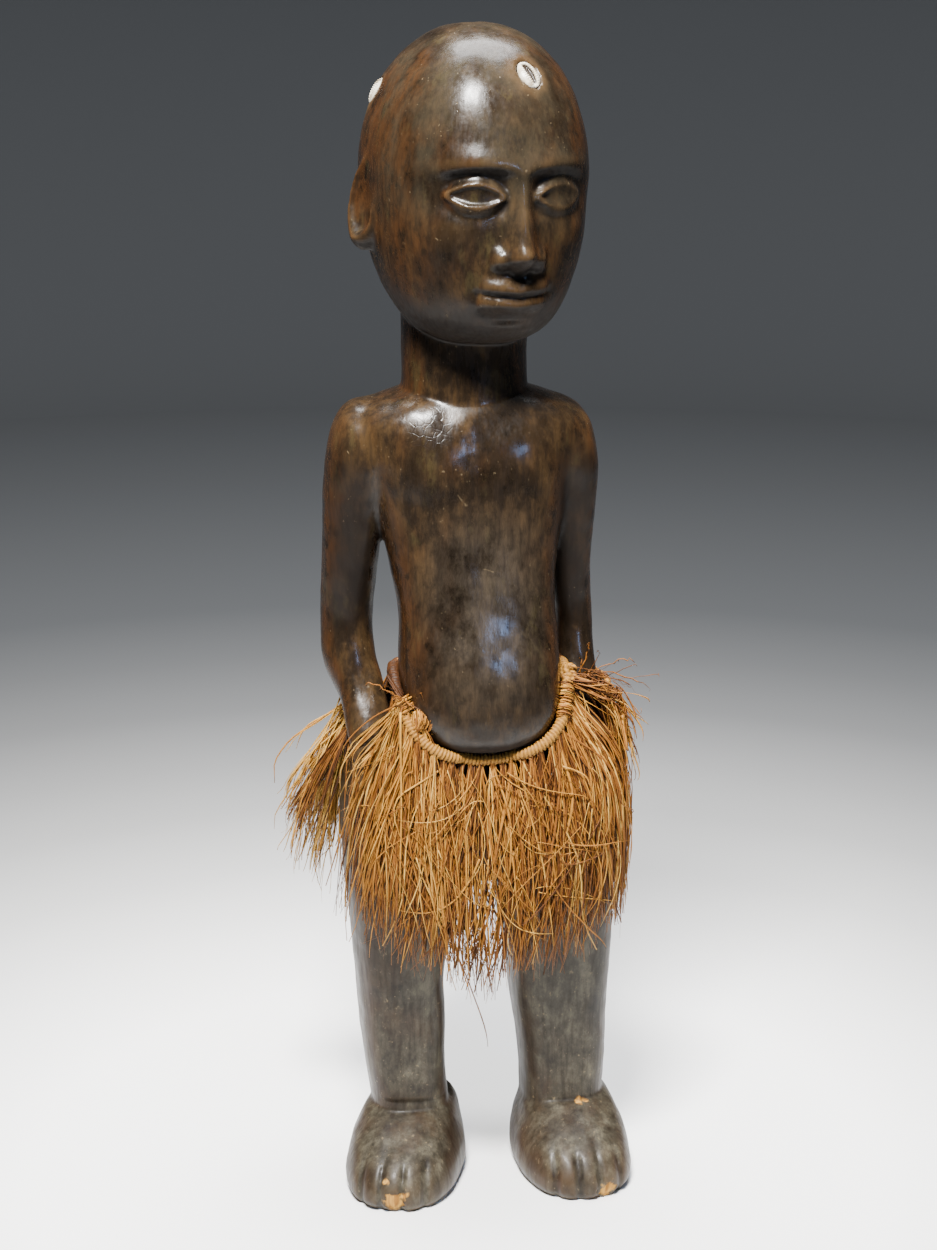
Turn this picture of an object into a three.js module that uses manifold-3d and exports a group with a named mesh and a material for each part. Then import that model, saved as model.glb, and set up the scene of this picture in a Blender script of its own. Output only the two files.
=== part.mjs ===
// A standing figure carved from one block of wood, with two cowrie shells set in its head and a
// raffia skirt tied round its waist. Millimetres, +Z up. The figure looks along -Y, so its own
// right hand is on the -X side. Its forms are drawn round its own plumb line, and the whole is
// then moved so that the origin is the middle of the base of its box.
import * as THREE from "three";
import { mergeVertices } from "three/addons/utils/BufferGeometryUtils.js";
import Module from "manifold-3d";

const wasm = await Module();
wasm.setup();

// Driving sizes
const CROWN = 780; // top of the head above the soles
const HEAD_MIDDLE = 690; // height of the widest level of the head
const HEAD_CENTRE = { x: 3, y: -2 }; // middle of the head from the plumb line
const HEAD_TURN = 13; // degrees, the face looks towards its own left
const HEAD_ROLL = 2.5; // degrees, the crown leans towards its own left
const GAP = 0.4; // clearance between touching pieces
const CORD_RADIUS = 3.2; // the whipped waist cord
const BASE_MIDDLE = { x: -10, y: -6.4 }; // middle of the whole box from the plumb line

// Each level of a body form is the box round its outline: left and right in X, front and back in Y.
const TORSO = [
  { z: 214, left: -8, right: 26, front: -24, back: 34 }, // crotch
  { z: 238, left: -48, right: 60, front: -38, back: 46 },
  { z: 275, left: -62, right: 74, front: -46, back: 52 }, // seat
  { z: 300, left: -56, right: 66, front: -49, back: 46 },
  { z: 318, left: -50, right: 58, front: -50, back: 38 }, // under the belly
  { z: 334, left: -49, right: 57, front: -56, back: 31 },
  { z: 352, left: -49, right: 57, front: -68, back: 26 }, // fullest belly
  { z: 374, left: -49, right: 56, front: -68, back: 23 }, // small of the back
  { z: 408, left: -49, right: 54, front: -57, back: 23 }, // waist
  { z: 447, left: -56, right: 57, front: -50, back: 30 },
  { z: 480, left: -63, right: 63, front: -49, back: 37 }, // chest
  { z: 500, left: -68, right: 67, front: -49, back: 40 },
  { z: 515, left: -74, right: 71, front: -47, back: 40 },
  { z: 526, left: -78, right: 74, front: -44, back: 39 }, // shoulders
  { z: 534, left: -77, right: 71, front: -41, back: 38 },
  { z: 540, left: -70, right: 63, front: -38, back: 37 },
  { z: 545, left: -58, right: 51, front: -35, back: 37 },
  { z: 549, left: -44, right: 38, front: -32, back: 36 }, // foot of the neck
];
const BELLY = [
  { z: 317, left: -10, right: 18, front: -54, back: -16 },
  { z: 320, left: -25, right: 33, front: -60, back: -14 },
  { z: 326, left: -36, right: 44, front: -65, back: -12 },
  { z: 336, left: -43, right: 51, front: -67.5, back: -10 },
  { z: 348, left: -44, right: 52, front: -67.5, back: -10 },
  { z: 364, left: -38, right: 46, front: -62, back: -10 },
];
const NECK = [
  { z: 536, left: -46, right: 41, front: -38, back: 43 },
  { z: 552, left: -43, right: 38, front: -35, back: 42 },
  { z: 580, left: -43, right: 38, front: -35, back: 42 },
  { z: 618, left: -42, right: 46, front: -40, back: 50 }, // inside the jaw
];
const RIGHT_LEG = [
  { z: 34, left: -65, right: -14, front: -27, back: 31 }, // ankle
  { z: 71, left: -71, right: -17, front: -29, back: 32 },
  { z: 117, left: -76, right: -18, front: -31, back: 35 },
  { z: 147, left: -78, right: -18, front: -34, back: 38 },
  { z: 180, left: -81, right: -12, front: -38, back: 43 },
  { z: 215, left: -84, right: -6, front: -42, back: 47 },
  { z: 255, left: -86, right: 0, front: -45, back: 49 }, // thigh
  { z: 288, left: -84, right: 2, front: -45, back: 46 },
  { z: 308, left: -76, right: 0, front: -38, back: 40 },
  { z: 320, left: -60, right: -6, front: -26, back: 30 }, // top of the hip
];
const LEFT_LEG = [
  { z: 34, left: 37, right: 93, front: -28, back: 30 },
  { z: 71, left: 36, right: 94, front: -29, back: 32 },
  { z: 117, left: 30, right: 96, front: -31, back: 35 },
  { z: 147, left: 27, right: 97, front: -34, back: 38 },
  { z: 180, left: 21, right: 98, front: -38, back: 43 },
  { z: 215, left: 16, right: 98, front: -42, back: 47 },
  { z: 255, left: 10, right: 98, front: -45, back: 49 },
  { z: 288, left: 8, right: 92, front: -45, back: 45 },
  { z: 308, left: 10, right: 82, front: -38, back: 38 },
  { z: 320, left: 16, right: 68, front: -26, back: 30 },
];
// A foot in its own frame: the leg stands at 0 and the toes point along -Y.
const FOOT = [
  { z: 0, left: -37, right: 36, front: -80, back: 32, groove: 3 },
  { z: 7, left: -40, right: 39, front: -84, back: 35, groove: 4 },
  { z: 17, left: -40, right: 39, front: -82, back: 36, groove: 4.5 },
  { z: 28, left: -38, right: 37, front: -72, back: 35, groove: 4 },
  { z: 37, left: -34, right: 34, front: -58, back: 34, groove: 2.5 },
  { z: 44, left: -31, right: 31, front: -45, back: 33, groove: 0.6 },
  { z: 49, left: -27, right: 27, front: -34, back: 31, groove: 0 },
];
const RIGHT_FOOT = { x: -39, y: 2, turn: -18 }; // degrees outwards
const LEFT_FOOT = { x: 67, y: 1, turn: 3 };
const TOES = 5;
const TOE_SPREAD = 0.92; // share of the foot's half width that the toes take up

// An arm is a row of places down its middle, with its half width and half depth at each.
const RIGHT_ARM = [
  { x: -62, y: 3, z: 536, wide: 4, deep: 8 },
  { x: -67, y: 3, z: 531, wide: 16, deep: 23 },
  { x: -71, y: 3, z: 514, wide: 20, deep: 31 }, // shoulder
  { x: -73.5, y: 7, z: 485, wide: 20.5, deep: 28 },
  { x: -77, y: 14, z: 432, wide: 18.5, deep: 22 },
  { x: -79, y: 18, z: 394, wide: 17.5, deep: 19 },
  { x: -78, y: 13, z: 367, wide: 17, deep: 18 }, // elbow
  { x: -72, y: 0, z: 346, wide: 15.5, deep: 15 },
  { x: -69, y: -16, z: 327, wide: 15, deep: 12 }, // wrist
  { x: -67, y: -30, z: 308, wide: 14, deep: 9 }, // palm, flat on the hip
  { x: -66, y: -38, z: 284, wide: 11, deep: 7 }, // fingertips
];
const LEFT_ARM = [
  { x: 56, y: 3, z: 532, wide: 4, deep: 8 },
  { x: 61, y: 3, z: 527, wide: 16, deep: 23 },
  { x: 65, y: 3, z: 508, wide: 18.5, deep: 31 },
  { x: 66.5, y: 7, z: 485, wide: 19.5, deep: 28 },
  { x: 68, y: 14, z: 432, wide: 16, deep: 22 },
  { x: 71.5, y: 18, z: 394, wide: 14, deep: 19 },
  { x: 73, y: 13, z: 367, wide: 13.5, deep: 18 },
  { x: 73, y: 0, z: 346, wide: 14, deep: 15 },
  { x: 75, y: -16, z: 327, wide: 14, deep: 12 },
  { x: 75, y: -30, z: 308, wide: 14, deep: 9 },
  { x: 74, y: -38, z: 284, wide: 11, deep: 7 },
];

// The head: half sizes at its middle level, and how fast it closes above and below that level.
const HEAD = {
  side: 69,
  front: 79,
  back: 82,
  above: CROWN - HEAD_MIDDLE,
  below: 106,
  square: 2.25,
  closing: {
    above: { side: 0.92, front: 0.9, back: 0.95 },
    below: { side: 0.6, front: 0.4, back: 1.15 },
  },
};
// The face keeps the schoolbook canon: the crown to the chin is three and a half thirds of the
// face, the eyes stand half way, the head is five eye widths across, and the mouth lies a third
// of the way from the nose to the chin.
const HEAD_HEIGHT = HEAD.above + HEAD.below;
const FACE_THIRD = HEAD_HEIGHT / 3.5;
const EYE_LEVEL = -HEAD.below + HEAD_HEIGHT / 2;
const EYE_WIDTH = (2 * HEAD.side) / 5;
// A carved almond in its socket: its half height, rim, depth, slant, and the stand of its ball
const EYE = { rise: EYE_WIDTH * 0.25, lid: 2.6, deep: 6.5, rim: 4.5, root: 8, turn: 20, ball: 7.5 };
const NOSE_BASE = -HEAD.below + FACE_THIRD;
const BROW_LEVEL = NOSE_BASE + FACE_THIRD;
const MOUTH_LEVEL = NOSE_BASE - FACE_THIRD / 3;
const MOUTH_HALF = EYE_WIDTH * 0.8;
const NOSE_HALF = EYE_WIDTH * 0.6;

// The carved forms of the face, each a soft hill or hollow on the bare head: how far it stands
// off, its middle across and up, its half breadth each way and how square it is each way.
const FACE_FORMS = {
  socket: { stand: -EYE.deep, x: EYE_WIDTH - 1, z: EYE_LEVEL + 1.5, wide: 21, tall: 12, square: [4, 4] },
  nostril: { stand: 10, x: NOSE_HALF * 0.72, z: NOSE_BASE + 4, wide: 5.6, tall: 6.5, square: [2.6, 3] },
  muzzle: { stand: 5.5, x: 0, z: MOUTH_LEVEL, wide: 31, tall: 21, square: [2, 2] },
  parting: { stand: -2.2, x: 0, z: MOUTH_LEVEL - 0.2, wide: MOUTH_HALF, tall: 1.5, square: [6, 2] },
  cheek: { stand: 3, x: 40, z: NOSE_BASE + 16, wide: 15, tall: 17, square: [2, 2] },
  chin: { stand: 4, x: 0, z: 13 - HEAD.below, wide: 19, tall: 10, square: [2, 2] },
};
const BROW = { stand: 4.6, crest: 22, rise: 4, arch: 0.0045, x: 25, wide: 27, above: 7, under: 4.2 };
const BRIDGE = { top: 4, tip: 18, halfTop: 7.5, halfTip: NOSE_HALF * 0.8 }; // of the nose
const LIPS = {
  upper: { stand: 5.4, z: MOUTH_LEVEL + 4.6, half: 3.9 },
  lower: { stand: 6, z: MOUTH_LEVEL - 5.2, half: 4.5 },
};
const EAR = { halfDeep: 13, halfWide: 16, hollow: 0.6, side: 66, back: 9, lean: 6, flare: 14 };

// Small money cowries: where each is set on the head, by its level and its angle round it.
const COWRIE = { length: 19, width: 13.5, height: 7, slit: 2.4, sunk: 1.5 };
const FRONT_COWRIE = { share: 0.71, angle: -80, turn: 118 };
const SIDE_COWRIE = { share: 0.5, angle: 158, turn: 70 };

// Angles round the waist run from 0 in front to 90 at the figure's own left.
const WAIST = { x: 4, y: -15 };
const CORD_LEVEL = { front: 312.5, side: 364, back: 352 };
const CORD_DIP = 3.5; // how sharply it climbs from the front to the sides
const KNOT = { angle: 77, radius: 5.5 };
const FRINGE = {
  from: -77, // in front of the right arm
  to: 260, // behind the right arm
  locks: 24, // hanks along the cord
  rows: 6,
  hem: { left: -92, right: 105, front: -70, back: 69, square: 2.9 },
  level: { front: 167, side: 193, back: 187 },
  tied: { out: 2, under: 4.2 }, // where the hanks start, from the middle of the cord
  spring: { front: 2, side: 3.4, back: 3.2 }, // how sharply the hanks turn down over the hips
  thick: { top: 4, middle: 5, hem: 4 },
  ridge: 2.4, // how far a hank stands out
  ragged: 4.5, // how uneven the lower edge is
  overArm: { angle: 94, spread: 34, reach: 35 }, // hanks tied over the left forearm
  wing: { angle: 244, spread: 25, reach: 40, lift: 50 }, // hanks thrown out behind the right arm
};

const FULL_TURN = Math.PI * 2;
const radians = THREE.MathUtils.degToRad;
const mix = THREE.MathUtils.lerp;
const vector = (x, y, z) => new THREE.Vector3(x, y, z);
const count = (length, make) => Array.from({ length }, (_, i) => make(i));

// The value of one size at a height, on a smooth curve through the levels.
function sizeAt(levels, key, z) {
  const last = levels.length - 1;
  let i = 0;
  while (i < last - 1 && z > levels[i + 1].z) i++;
  const slope = (j) => {
    const before = levels[Math.max(j - 1, 0)];
    const after = levels[Math.min(j + 1, last)];
    return (after[key] - before[key]) / (after.z - before.z);
  };
  const a = levels[i];
  const b = levels[i + 1];
  const span = b.z - a.z;
  const t = THREE.MathUtils.clamp((z - a.z) / span, 0, 1);
  const bend = slope(i) * t * (1 - t) ** 2 - slope(i + 1) * t * t * (1 - t);
  return mix(a[key], b[key], 3 * t * t - 2 * t * t * t) + span * bend;
}

// The middle and half sizes of a body form's outline at one height, grown by a clearance.
function outlineAt(levels, z, grow = 0) {
  const [left, right, front, back] = ["left", "right", "front", "back"].map((key) =>
    sizeAt(levels, key, z),
  );
  return {
    x: (left + right) / 2,
    y: (front + back) / 2,
    halfX: (right - left) / 2 + grow,
    halfY: (back - front) / 2 + grow,
  };
}

// A point on a rounded box (a superellipse), by its angle: 0 at +X and a quarter turn at +Y.
function roundedBox(angle, halfX, halfY, square) {
  const c = Math.cos(angle);
  const s = Math.sin(angle);
  return vector(
    halfX * Math.sign(c) * Math.abs(c) ** (2 / square),
    halfY * Math.sign(s) * Math.abs(s) ** (2 / square),
    0,
  );
}

// A closed skin over rings of points that run up the form anticlockwise. The ends are closed by a
// strip between the two halves of the ring, and a loop has its last ring joined to its first.
function skin(rings, { loop = false } = {}) {
  const around = rings[0].length;
  const faces = [];
  const quad = (a, b, c, d) => faces.push(a, b, c, a, c, d);
  for (let row = 0; row < (loop ? rings.length : rings.length - 1); row++) {
    const low = row * around;
    const high = ((row + 1) % rings.length) * around;
    for (let i = 0; i < around; i++) {
      const next = (i + 1) % around;
      quad(low + i, low + next, high + next, high + i);
    }
  }
  if (!loop) {
    const last = (rings.length - 1) * around;
    for (let i = 0; i < around / 2 - 1; i++) {
      const across = around - 1 - i;
      quad(across, across - 1, i + 1, i);
      quad(last + i, last + i + 1, last + across - 1, last + across);
    }
  }
  return new THREE.BufferGeometry().setFromPoints(rings.flat()).setIndex(faces);
}

// A geometry's own points and faces as a solid that can be joined and cut.
function solid(geometry) {
  const bare = geometry.clone();
  bare.deleteAttribute("normal");
  bare.deleteAttribute("uv");
  const merged = mergeVertices(bare, 1e-4);
  return new wasm.Manifold(
    new wasm.Mesh({
      numProp: 3,
      vertProperties: merged.attributes.position.array,
      triVerts: new Uint32Array(merged.index.array),
    }),
  );
}

const joined = (solids) => solids.reduce((sum, next) => sum.add(next));

// The largest of the bodies that a cut or a join leaves, without crumbs or sealed bubbles.
function largest(shape) {
  return shape.decompose().reduce((best, next) => (next.volume() > best.volume() ? next : best));
}

// A body form between its lowest and highest level.
function form(levels, { rows, around, square, grow = 0 }) {
  const rings = count(rows + 1, (i) => {
    const z = mix(levels[0].z - grow, levels.at(-1).z + grow, i / rows);
    const { x, y, halfX, halfY } = outlineAt(levels, z, grow);
    return count(around, (j) =>
      roundedBox((FULL_TURN * j) / around, halfX, halfY, square).add(vector(x, y, z)),
    );
  });
  return solid(skin(rings));
}

// An oval carried along a smooth curve through places, from the last to the first.
function limb(places, { rows, around, square = 2.3, grow = 0 }) {
  const middle = new THREE.CatmullRomCurve3(places.map(({ x, y, z }) => vector(x, y, z)));
  const girth = new THREE.CatmullRomCurve3(places.map((p) => vector(p.wide, p.deep, 0)));
  const rings = count(rows + 1, (i) => {
    const t = 1 - i / rows;
    const along = middle.getTangent(t).negate();
    const deep = vector(0, 0, 0).crossVectors(along, vector(1, 0, 0)).normalize();
    const wide = vector(0, 0, 0).crossVectors(deep, along);
    const size = girth.getPoint(t);
    return count(around, (j) => {
      const p = roundedBox((FULL_TURN * j) / around, size.x + grow, size.y + grow, square);
      return middle.getPoint(t).addScaledVector(wide, p.x).addScaledVector(deep, p.y);
    });
  });
  return solid(skin(rings));
}

// An ellipsoid by its half sizes.
function egg(halfX, halfY, halfZ, { around = 16, rows = 10 } = {}) {
  return solid(new THREE.SphereGeometry(1, around, rows).scale(halfX, halfY, halfZ));
}

// The head's half sizes at one share of its height, from -1 at the chin to 1 at the crown.
function headLevel(share) {
  const level = Math.sqrt(Math.max(0, 1 - share * share));
  const closing = share > 0 ? HEAD.closing.above : HEAD.closing.below;
  const front = HEAD.front * level ** closing.front;
  const back = HEAD.back * level ** closing.back;
  return {
    halfX: HEAD.side * level ** closing.side,
    halfY: (front + back) / 2,
    y: (back - front) / 2,
    z: share * (share > 0 ? HEAD.above : HEAD.below),
  };
}

function headPoint(share, angle) {
  const { halfX, halfY, y, z } = headLevel(share);
  return roundedBox(angle, halfX, halfY, HEAD.square).add(vector(0, y, z));
}

// How far forward the bare face stands at a place across and up it.
function faceFront(x, z) {
  const { halfX, halfY, y } = headLevel(z / (z > 0 ? HEAD.above : HEAD.below));
  return y - halfY * (1 - Math.abs(x / halfX) ** HEAD.square) ** (1 / HEAD.square);
}

// A soft hill of height 1, with its middle and its half breadth.
const bump = (at, middle, half, square = 2) => Math.exp(-(Math.abs((at - middle) / half) ** square));

const faceForm = ({ stand, x, z, wide, tall, square }, across, up) =>
  stand * bump(across, x, wide, square[0]) * bump(up, z, tall, square[1]);

// How far the nose stands off the face: a ridge that grows and widens down to its tip.
function noseRelief(x, z) {
  const down = THREE.MathUtils.clamp((BROW_LEVEL - z) / (BROW_LEVEL - NOSE_BASE), 0, 1);
  const underside = THREE.MathUtils.smoothstep(z, NOSE_BASE - 3, NOSE_BASE + 7);
  const tall = mix(BRIDGE.top, BRIDGE.tip, down ** 1.25) * underside;
  const wide = mix(BRIDGE.halfTop, BRIDGE.halfTip, down ** 2);
  const ridge = tall * bump(x, 0, wide, 2.6) * bump(z, NOSE_BASE + 20, 42, 6);
  return Math.max(ridge, faceForm(FACE_FORMS.nostril, x, z));
}

// How far the carving of the face stands off the bare head at a place across and up it.
function faceRelief(across, z) {
  const x = Math.abs(across);
  const { socket, muzzle, parting, cheek, chin } = FACE_FORMS;
  const soft = [socket, muzzle, parting, cheek, chin].reduce((sum, form) => sum + faceForm(form, x, z), 0);
  const browLine = BROW_LEVEL + BROW.rise - BROW.arch * (x - BROW.crest) ** 2;
  const browHalf = z < browLine ? BROW.under : BROW.above;
  const brow = BROW.stand * bump(z, browLine, browHalf) * bump(x, BROW.x, BROW.wide, 4);
  const smile = Math.sqrt(Math.max(0, 1 - (x / MOUTH_HALF) ** 2));
  const lip = ({ stand, z: middle, half }) => stand * smile * bump(z, middle, half, 2.6);
  return soft + brow + noseRelief(x, z) + lip(LIPS.upper) + lip(LIPS.lower);
}

// The heights of the head's rings: close together over the face, wider above and below it.
function headLevels() {
  const [low, high] = [-96, 16];
  const faceRows = 26;
  const under = [-0.992, -0.97, -0.94].map((share) => share * HEAD.below);
  const face = count(faceRows + 1, (i) => mix(low, high, i / faceRows));
  const first = Math.asin(high / HEAD.above);
  const over = count(9, (i) => HEAD.above * Math.sin(mix(first, radians(84), (i + 1) / 9)));
  return [...under, ...face, ...over];
}

// The angles of the head's points: close together across the face, wider round the back.
function headAngles() {
  const frontSteps = 20;
  const backSteps = 10;
  const edge = 0.8;
  const angleOf = (share) =>
    -Math.acos(Math.sign(share) * Math.abs(share) ** (HEAD.square / 2));
  const front = count(frontSteps + 1, (i) => angleOf(mix(-edge, edge, i / frontSteps)));
  const start = angleOf(edge);
  const end = angleOf(-edge) + FULL_TURN;
  const back = count(backSteps, (i) => mix(start, end, (i + 1) / (backSteps + 1)));
  return [...front, ...back];
}

function skull() {
  const angles = headAngles();
  const rings = headLevels().map((z) => {
    const share = z / (z > 0 ? HEAD.above : HEAD.below);
    const { halfX, halfY, y } = headLevel(share);
    return angles.map((angle) => {
      const at = headPoint(share, angle);
      if (at.y > y) return at;
      const out = vector(
        (Math.sign(at.x) * Math.abs(at.x / halfX) ** (HEAD.square - 1)) / halfX,
        -(Math.abs((at.y - y) / halfY) ** (HEAD.square - 1)) / halfY,
        0,
      ).normalize();
      return at.addScaledVector(out, faceRelief(at.x, z));
    });
  });
  return solid(skin(rings));
}

// An ear: a flat oval standing off the side of the head, hollowed from outside.
function ear(side) {
  const { halfDeep, halfWide, hollow, lean, flare } = EAR;
  const halfTall = FACE_THIRD * 0.55;
  const bowl = egg(halfDeep * hollow, halfWide * hollow, halfTall * 0.65, { around: 8, rows: 5 });
  return egg(halfDeep, halfWide, halfTall, { around: 10, rows: 7 })
    .subtract(bowl.translate(side * halfDeep * 0.9, -1.5, 2))
    .rotate(0, side * -lean, side * -flare)
    .translate(side * EAR.side, EAR.back, NOSE_BASE + FACE_THIRD / 2);
}

const headPlace = new THREE.Matrix4()
  .makeTranslation(HEAD_CENTRE.x, HEAD_CENTRE.y, HEAD_MIDDLE)
  .multiply(new THREE.Matrix4().makeRotationZ(radians(HEAD_TURN)))
  .multiply(new THREE.Matrix4().makeRotationY(radians(HEAD_ROLL)));

// A cowrie, mouth outwards: an egg with a narrow slit along it, set on the head's surface.
function cowrie({ share, angle, turn }, grow = 0) {
  const step = 0.01;
  const at = headPoint(share, radians(angle));
  const round = headPoint(share, radians(angle) + step).sub(at);
  const up = headPoint(share + step, radians(angle)).sub(at);
  const out = vector(0, 0, 0).crossVectors(round, up).normalize();
  const side = round.normalize();
  const place = new THREE.Matrix4()
    .makeBasis(side, vector(0, 0, 0).crossVectors(out, side), out)
    .setPosition(at.addScaledVector(out, -COWRIE.sunk))
    .premultiply(headPlace)
    .multiply(new THREE.Matrix4().makeRotationZ(radians(turn)))
    .toArray();
  const half = (size) => size / 2 + grow;
  const body = egg(half(COWRIE.length), half(COWRIE.width), half(COWRIE.height), { around: 12, rows: 6 });
  const slit = egg(COWRIE.length * 0.4, COWRIE.slit / 2, 3, { around: 6, rows: 4 });
  return (grow ? body : body.subtract(slit.translate(0, 0, COWRIE.height / 2))).transform(place);
}

// An upright block with an almond outline, pointed at both ends.
function almond(halfWide, halfTall, low, high) {
  const outline = new THREE.Shape();
  outline.moveTo(-halfWide, 0);
  outline.quadraticCurveTo(0, -2 * halfTall, halfWide, 0);
  outline.quadraticCurveTo(0, 2 * halfTall, -halfWide, 0);
  const block = new THREE.ExtrudeGeometry(outline, {
    depth: high - low,
    bevelEnabled: false,
    curveSegments: 7,
  });
  return solid(block.translate(0, 0, low));
}

// An eye: a domed ball in a raised almond rim, looking out of its socket.
function eye(side) {
  const { rise, lid, deep, rim, root, turn, ball } = EYE;
  const half = EYE_WIDTH / 2;
  const x = side * EYE_WIDTH;
  const place = new THREE.Matrix4()
    .makeTranslation(x, faceFront(x, EYE_LEVEL) + deep, EYE_LEVEL)
    .multiply(new THREE.Matrix4().makeRotationZ(side * radians(turn)))
    .multiply(new THREE.Matrix4().makeRotationX(radians(90)));
  const block = almond(half + lid, rise + lid, -root, rim);
  const dome = egg(half - 1, rise + 2, ball, { around: 12, rows: 8 }).translate(0, 0, rim - ball);
  return block
    .subtract(almond(half, rise, 1, root))
    .add(dome.intersect(block))
    .transform(place.toArray());
}

function head() {
  return joined([skull(), eye(-1), eye(1), ear(-1), ear(1)]).transform(headPlace.toArray());
}

// A foot's outline at one level: the front half is parted into toes, the back half is round.
function footRing(level) {
  const { x, y, halfX, halfY } = outlineAt(FOOT, level.z);
  const square = 2.35;
  const perToe = 3;
  const steps = TOES * perToe;
  const front = count(steps + 1, (i) => {
    const share = mix(-TOE_SPREAD, TOE_SPREAD, i / steps);
    const parting = i > 0 && i < steps && i % perToe === 0 ? level.groove : 0;
    const reach = halfY * (1 - Math.abs(share) ** square) ** (1 / square) - parting;
    return vector(x + halfX * share, y - reach, level.z);
  });
  const backSteps = 10;
  const start = radians(-14);
  const back = count(backSteps, (i) => {
    const angle = mix(start, Math.PI - start, i / (backSteps - 1));
    return roundedBox(angle, halfX, halfY, square).add(vector(x, y, level.z));
  });
  return [...front, ...back];
}

function foot({ x, y, turn }) {
  return solid(skin(FOOT.map(footRing)))
    .rotate(0, 0, turn)
    .translate(x, y, 0);
}

// The trunk, legs and arms, grown by a clearance where the skirt has to stay off them.
function body(grow = 0) {
  const leg = { rows: 9, around: 18, square: 2.8, grow };
  const arm = { rows: 13, around: 10, grow };
  return joined([
    form(TORSO, { rows: 17, around: 24, square: 2.4, grow }),
    form(BELLY, { rows: 7, around: 22, square: 2.4, grow }),
    form(RIGHT_LEG, leg),
    form(LEFT_LEG, leg),
    limb(RIGHT_ARM, arm),
    limb(LEFT_ARM, arm),
  ]);
}

function figure() {
  const neck = form(NECK, { rows: 5, around: 20, square: 2.2 });
  const whole = joined([body(), neck, head(), foot(RIGHT_FOOT), foot(LEFT_FOOT)]);
  return largest(
    whole.subtract(cowrie(FRONT_COWRIE, GAP)).subtract(cowrie(SIDE_COWRIE, GAP)),
  );
}

// How far a superellipse outline reaches from the middle of the waist at an angle round it.
function reachAt({ x, y, halfX, halfY }, angle, square) {
  let near = 0;
  let far = 200;
  for (let i = 0; i < 24; i++) {
    const reach = (near + far) / 2;
    const acrossShare = Math.abs((WAIST.x + reach * Math.sin(angle) - x) / halfX);
    const depthShare = Math.abs((WAIST.y - reach * Math.cos(angle) - y) / halfY);
    if (acrossShare ** square + depthShare ** square > 1) far = reach;
    else near = reach;
  }
  return near;
}

// A value that passes from the front to the sides to the back, sharper or softer by its power.
function roundWaist({ front, side, back }, angle, power) {
  const sideways = Math.abs(Math.sin(angle));
  return Math.cos(angle) > 0
    ? mix(front, side, sideways ** power)
    : mix(back, side, sideways ** 2);
}

const waistPoint = (angle, reach, z) =>
  vector(WAIST.x + reach * Math.sin(angle), WAIST.y - reach * Math.cos(angle), z);

// The cord's own line: it dips under the belly and runs between the trunk and each arm.
function cordLine(angle) {
  const z = roundWaist(CORD_LEVEL, angle, CORD_DIP);
  const top = z + CORD_RADIUS;
  const reach = Math.max(
    reachAt(outlineAt(TORSO, z), angle, 2.4),
    reachAt(outlineAt(TORSO, top), angle, 2.4),
    top > BELLY[0].z ? reachAt(outlineAt(BELLY, top), angle, 2.4) : 0,
  );
  return { reach: reach + CORD_RADIUS + 2 * GAP, z };
}

function waistCord() {
  const steps = 36;
  const sides = 8;
  const line = new THREE.CatmullRomCurve3(
    count(steps, (i) => {
      const angle = (FULL_TURN * i) / steps;
      const { reach, z } = cordLine(angle);
      return waistPoint(angle, reach, z);
    }),
    true,
  );
  const rings = count(steps, (i) => {
    const along = line.getTangent(i / steps);
    const out = vector(0, 0, 0).crossVectors(along, vector(0, 0, 1)).normalize();
    const up = vector(0, 0, 0).crossVectors(out, along);
    return count(sides, (j) => {
      const a = (FULL_TURN * j) / sides;
      return line
        .getPoint(i / steps)
        .addScaledVector(up, CORD_RADIUS * Math.cos(a))
        .addScaledVector(out, CORD_RADIUS * Math.sin(a));
    });
  });
  const knotAngle = radians(KNOT.angle);
  const { reach, z } = cordLine(knotAngle);
  const knot = egg(KNOT.radius, KNOT.radius, KNOT.radius, { around: 8, rows: 5 }).translate(
    ...waistPoint(knotAngle, reach + 2, z + 1),
  );
  return joined([solid(skin(rings, { loop: true })), knot]);
}

// A soft hill of height 1 round an angle.
const hill = (angle, { angle: middle, spread }) =>
  Math.exp(-(((THREE.MathUtils.radToDeg(angle) - middle) / spread) ** 2));

// The section of the fringe at one angle: down its outside from the cord to the hem, and back up
// its inside.
function fringeSection(angle, step) {
  const { hem, level, tied, spring, thick, ridge, ragged, rows, overArm, wing } = FRINGE;
  const stand = step % 2 ? 1 : -1;
  const outline = {
    x: (hem.left + hem.right) / 2,
    y: (hem.front + hem.back) / 2,
    halfX: (hem.right - hem.left) / 2,
    halfY: (hem.back - hem.front) / 2,
  };
  const thrown = hill(angle, wing);
  const cord = cordLine(angle);
  const top = {
    reach: cord.reach + tied.out + overArm.reach * hill(angle, overArm),
    z: cord.z - tied.under,
  };
  const uneven = stand * ragged * 0.6 + ragged * Math.sin(7 * angle) * Math.cos(17 * angle);
  const low = {
    reach: reachAt(outline, angle, hem.square) + wing.reach * thrown,
    z: roundWaist(level, angle, 2) + wing.lift * thrown + uneven,
  };
  const fall = mix(roundWaist(spring, angle, 2), 1.1, thrown);
  const points = count(rows + 1, (i) => {
    const t = i / rows;
    const reach = mix(top.reach, low.reach, 1 - (1 - t) ** fall);
    const proud = stand * ridge * Math.min(1, 0.25 + t);
    const depth =
      t < 0.5 ? mix(thick.top, thick.middle, 2 * t) : mix(thick.middle, thick.hem, 2 * t - 1);
    return { reach: reach + proud, inner: reach + proud * 0.4 - depth, z: mix(top.z, low.z, t) };
  });
  const outside = points.map((p) => waistPoint(angle, p.reach, p.z));
  const inside = points.map((p) => waistPoint(angle, p.inner, p.z)).reverse();
  return [...outside, ...inside];
}

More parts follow.
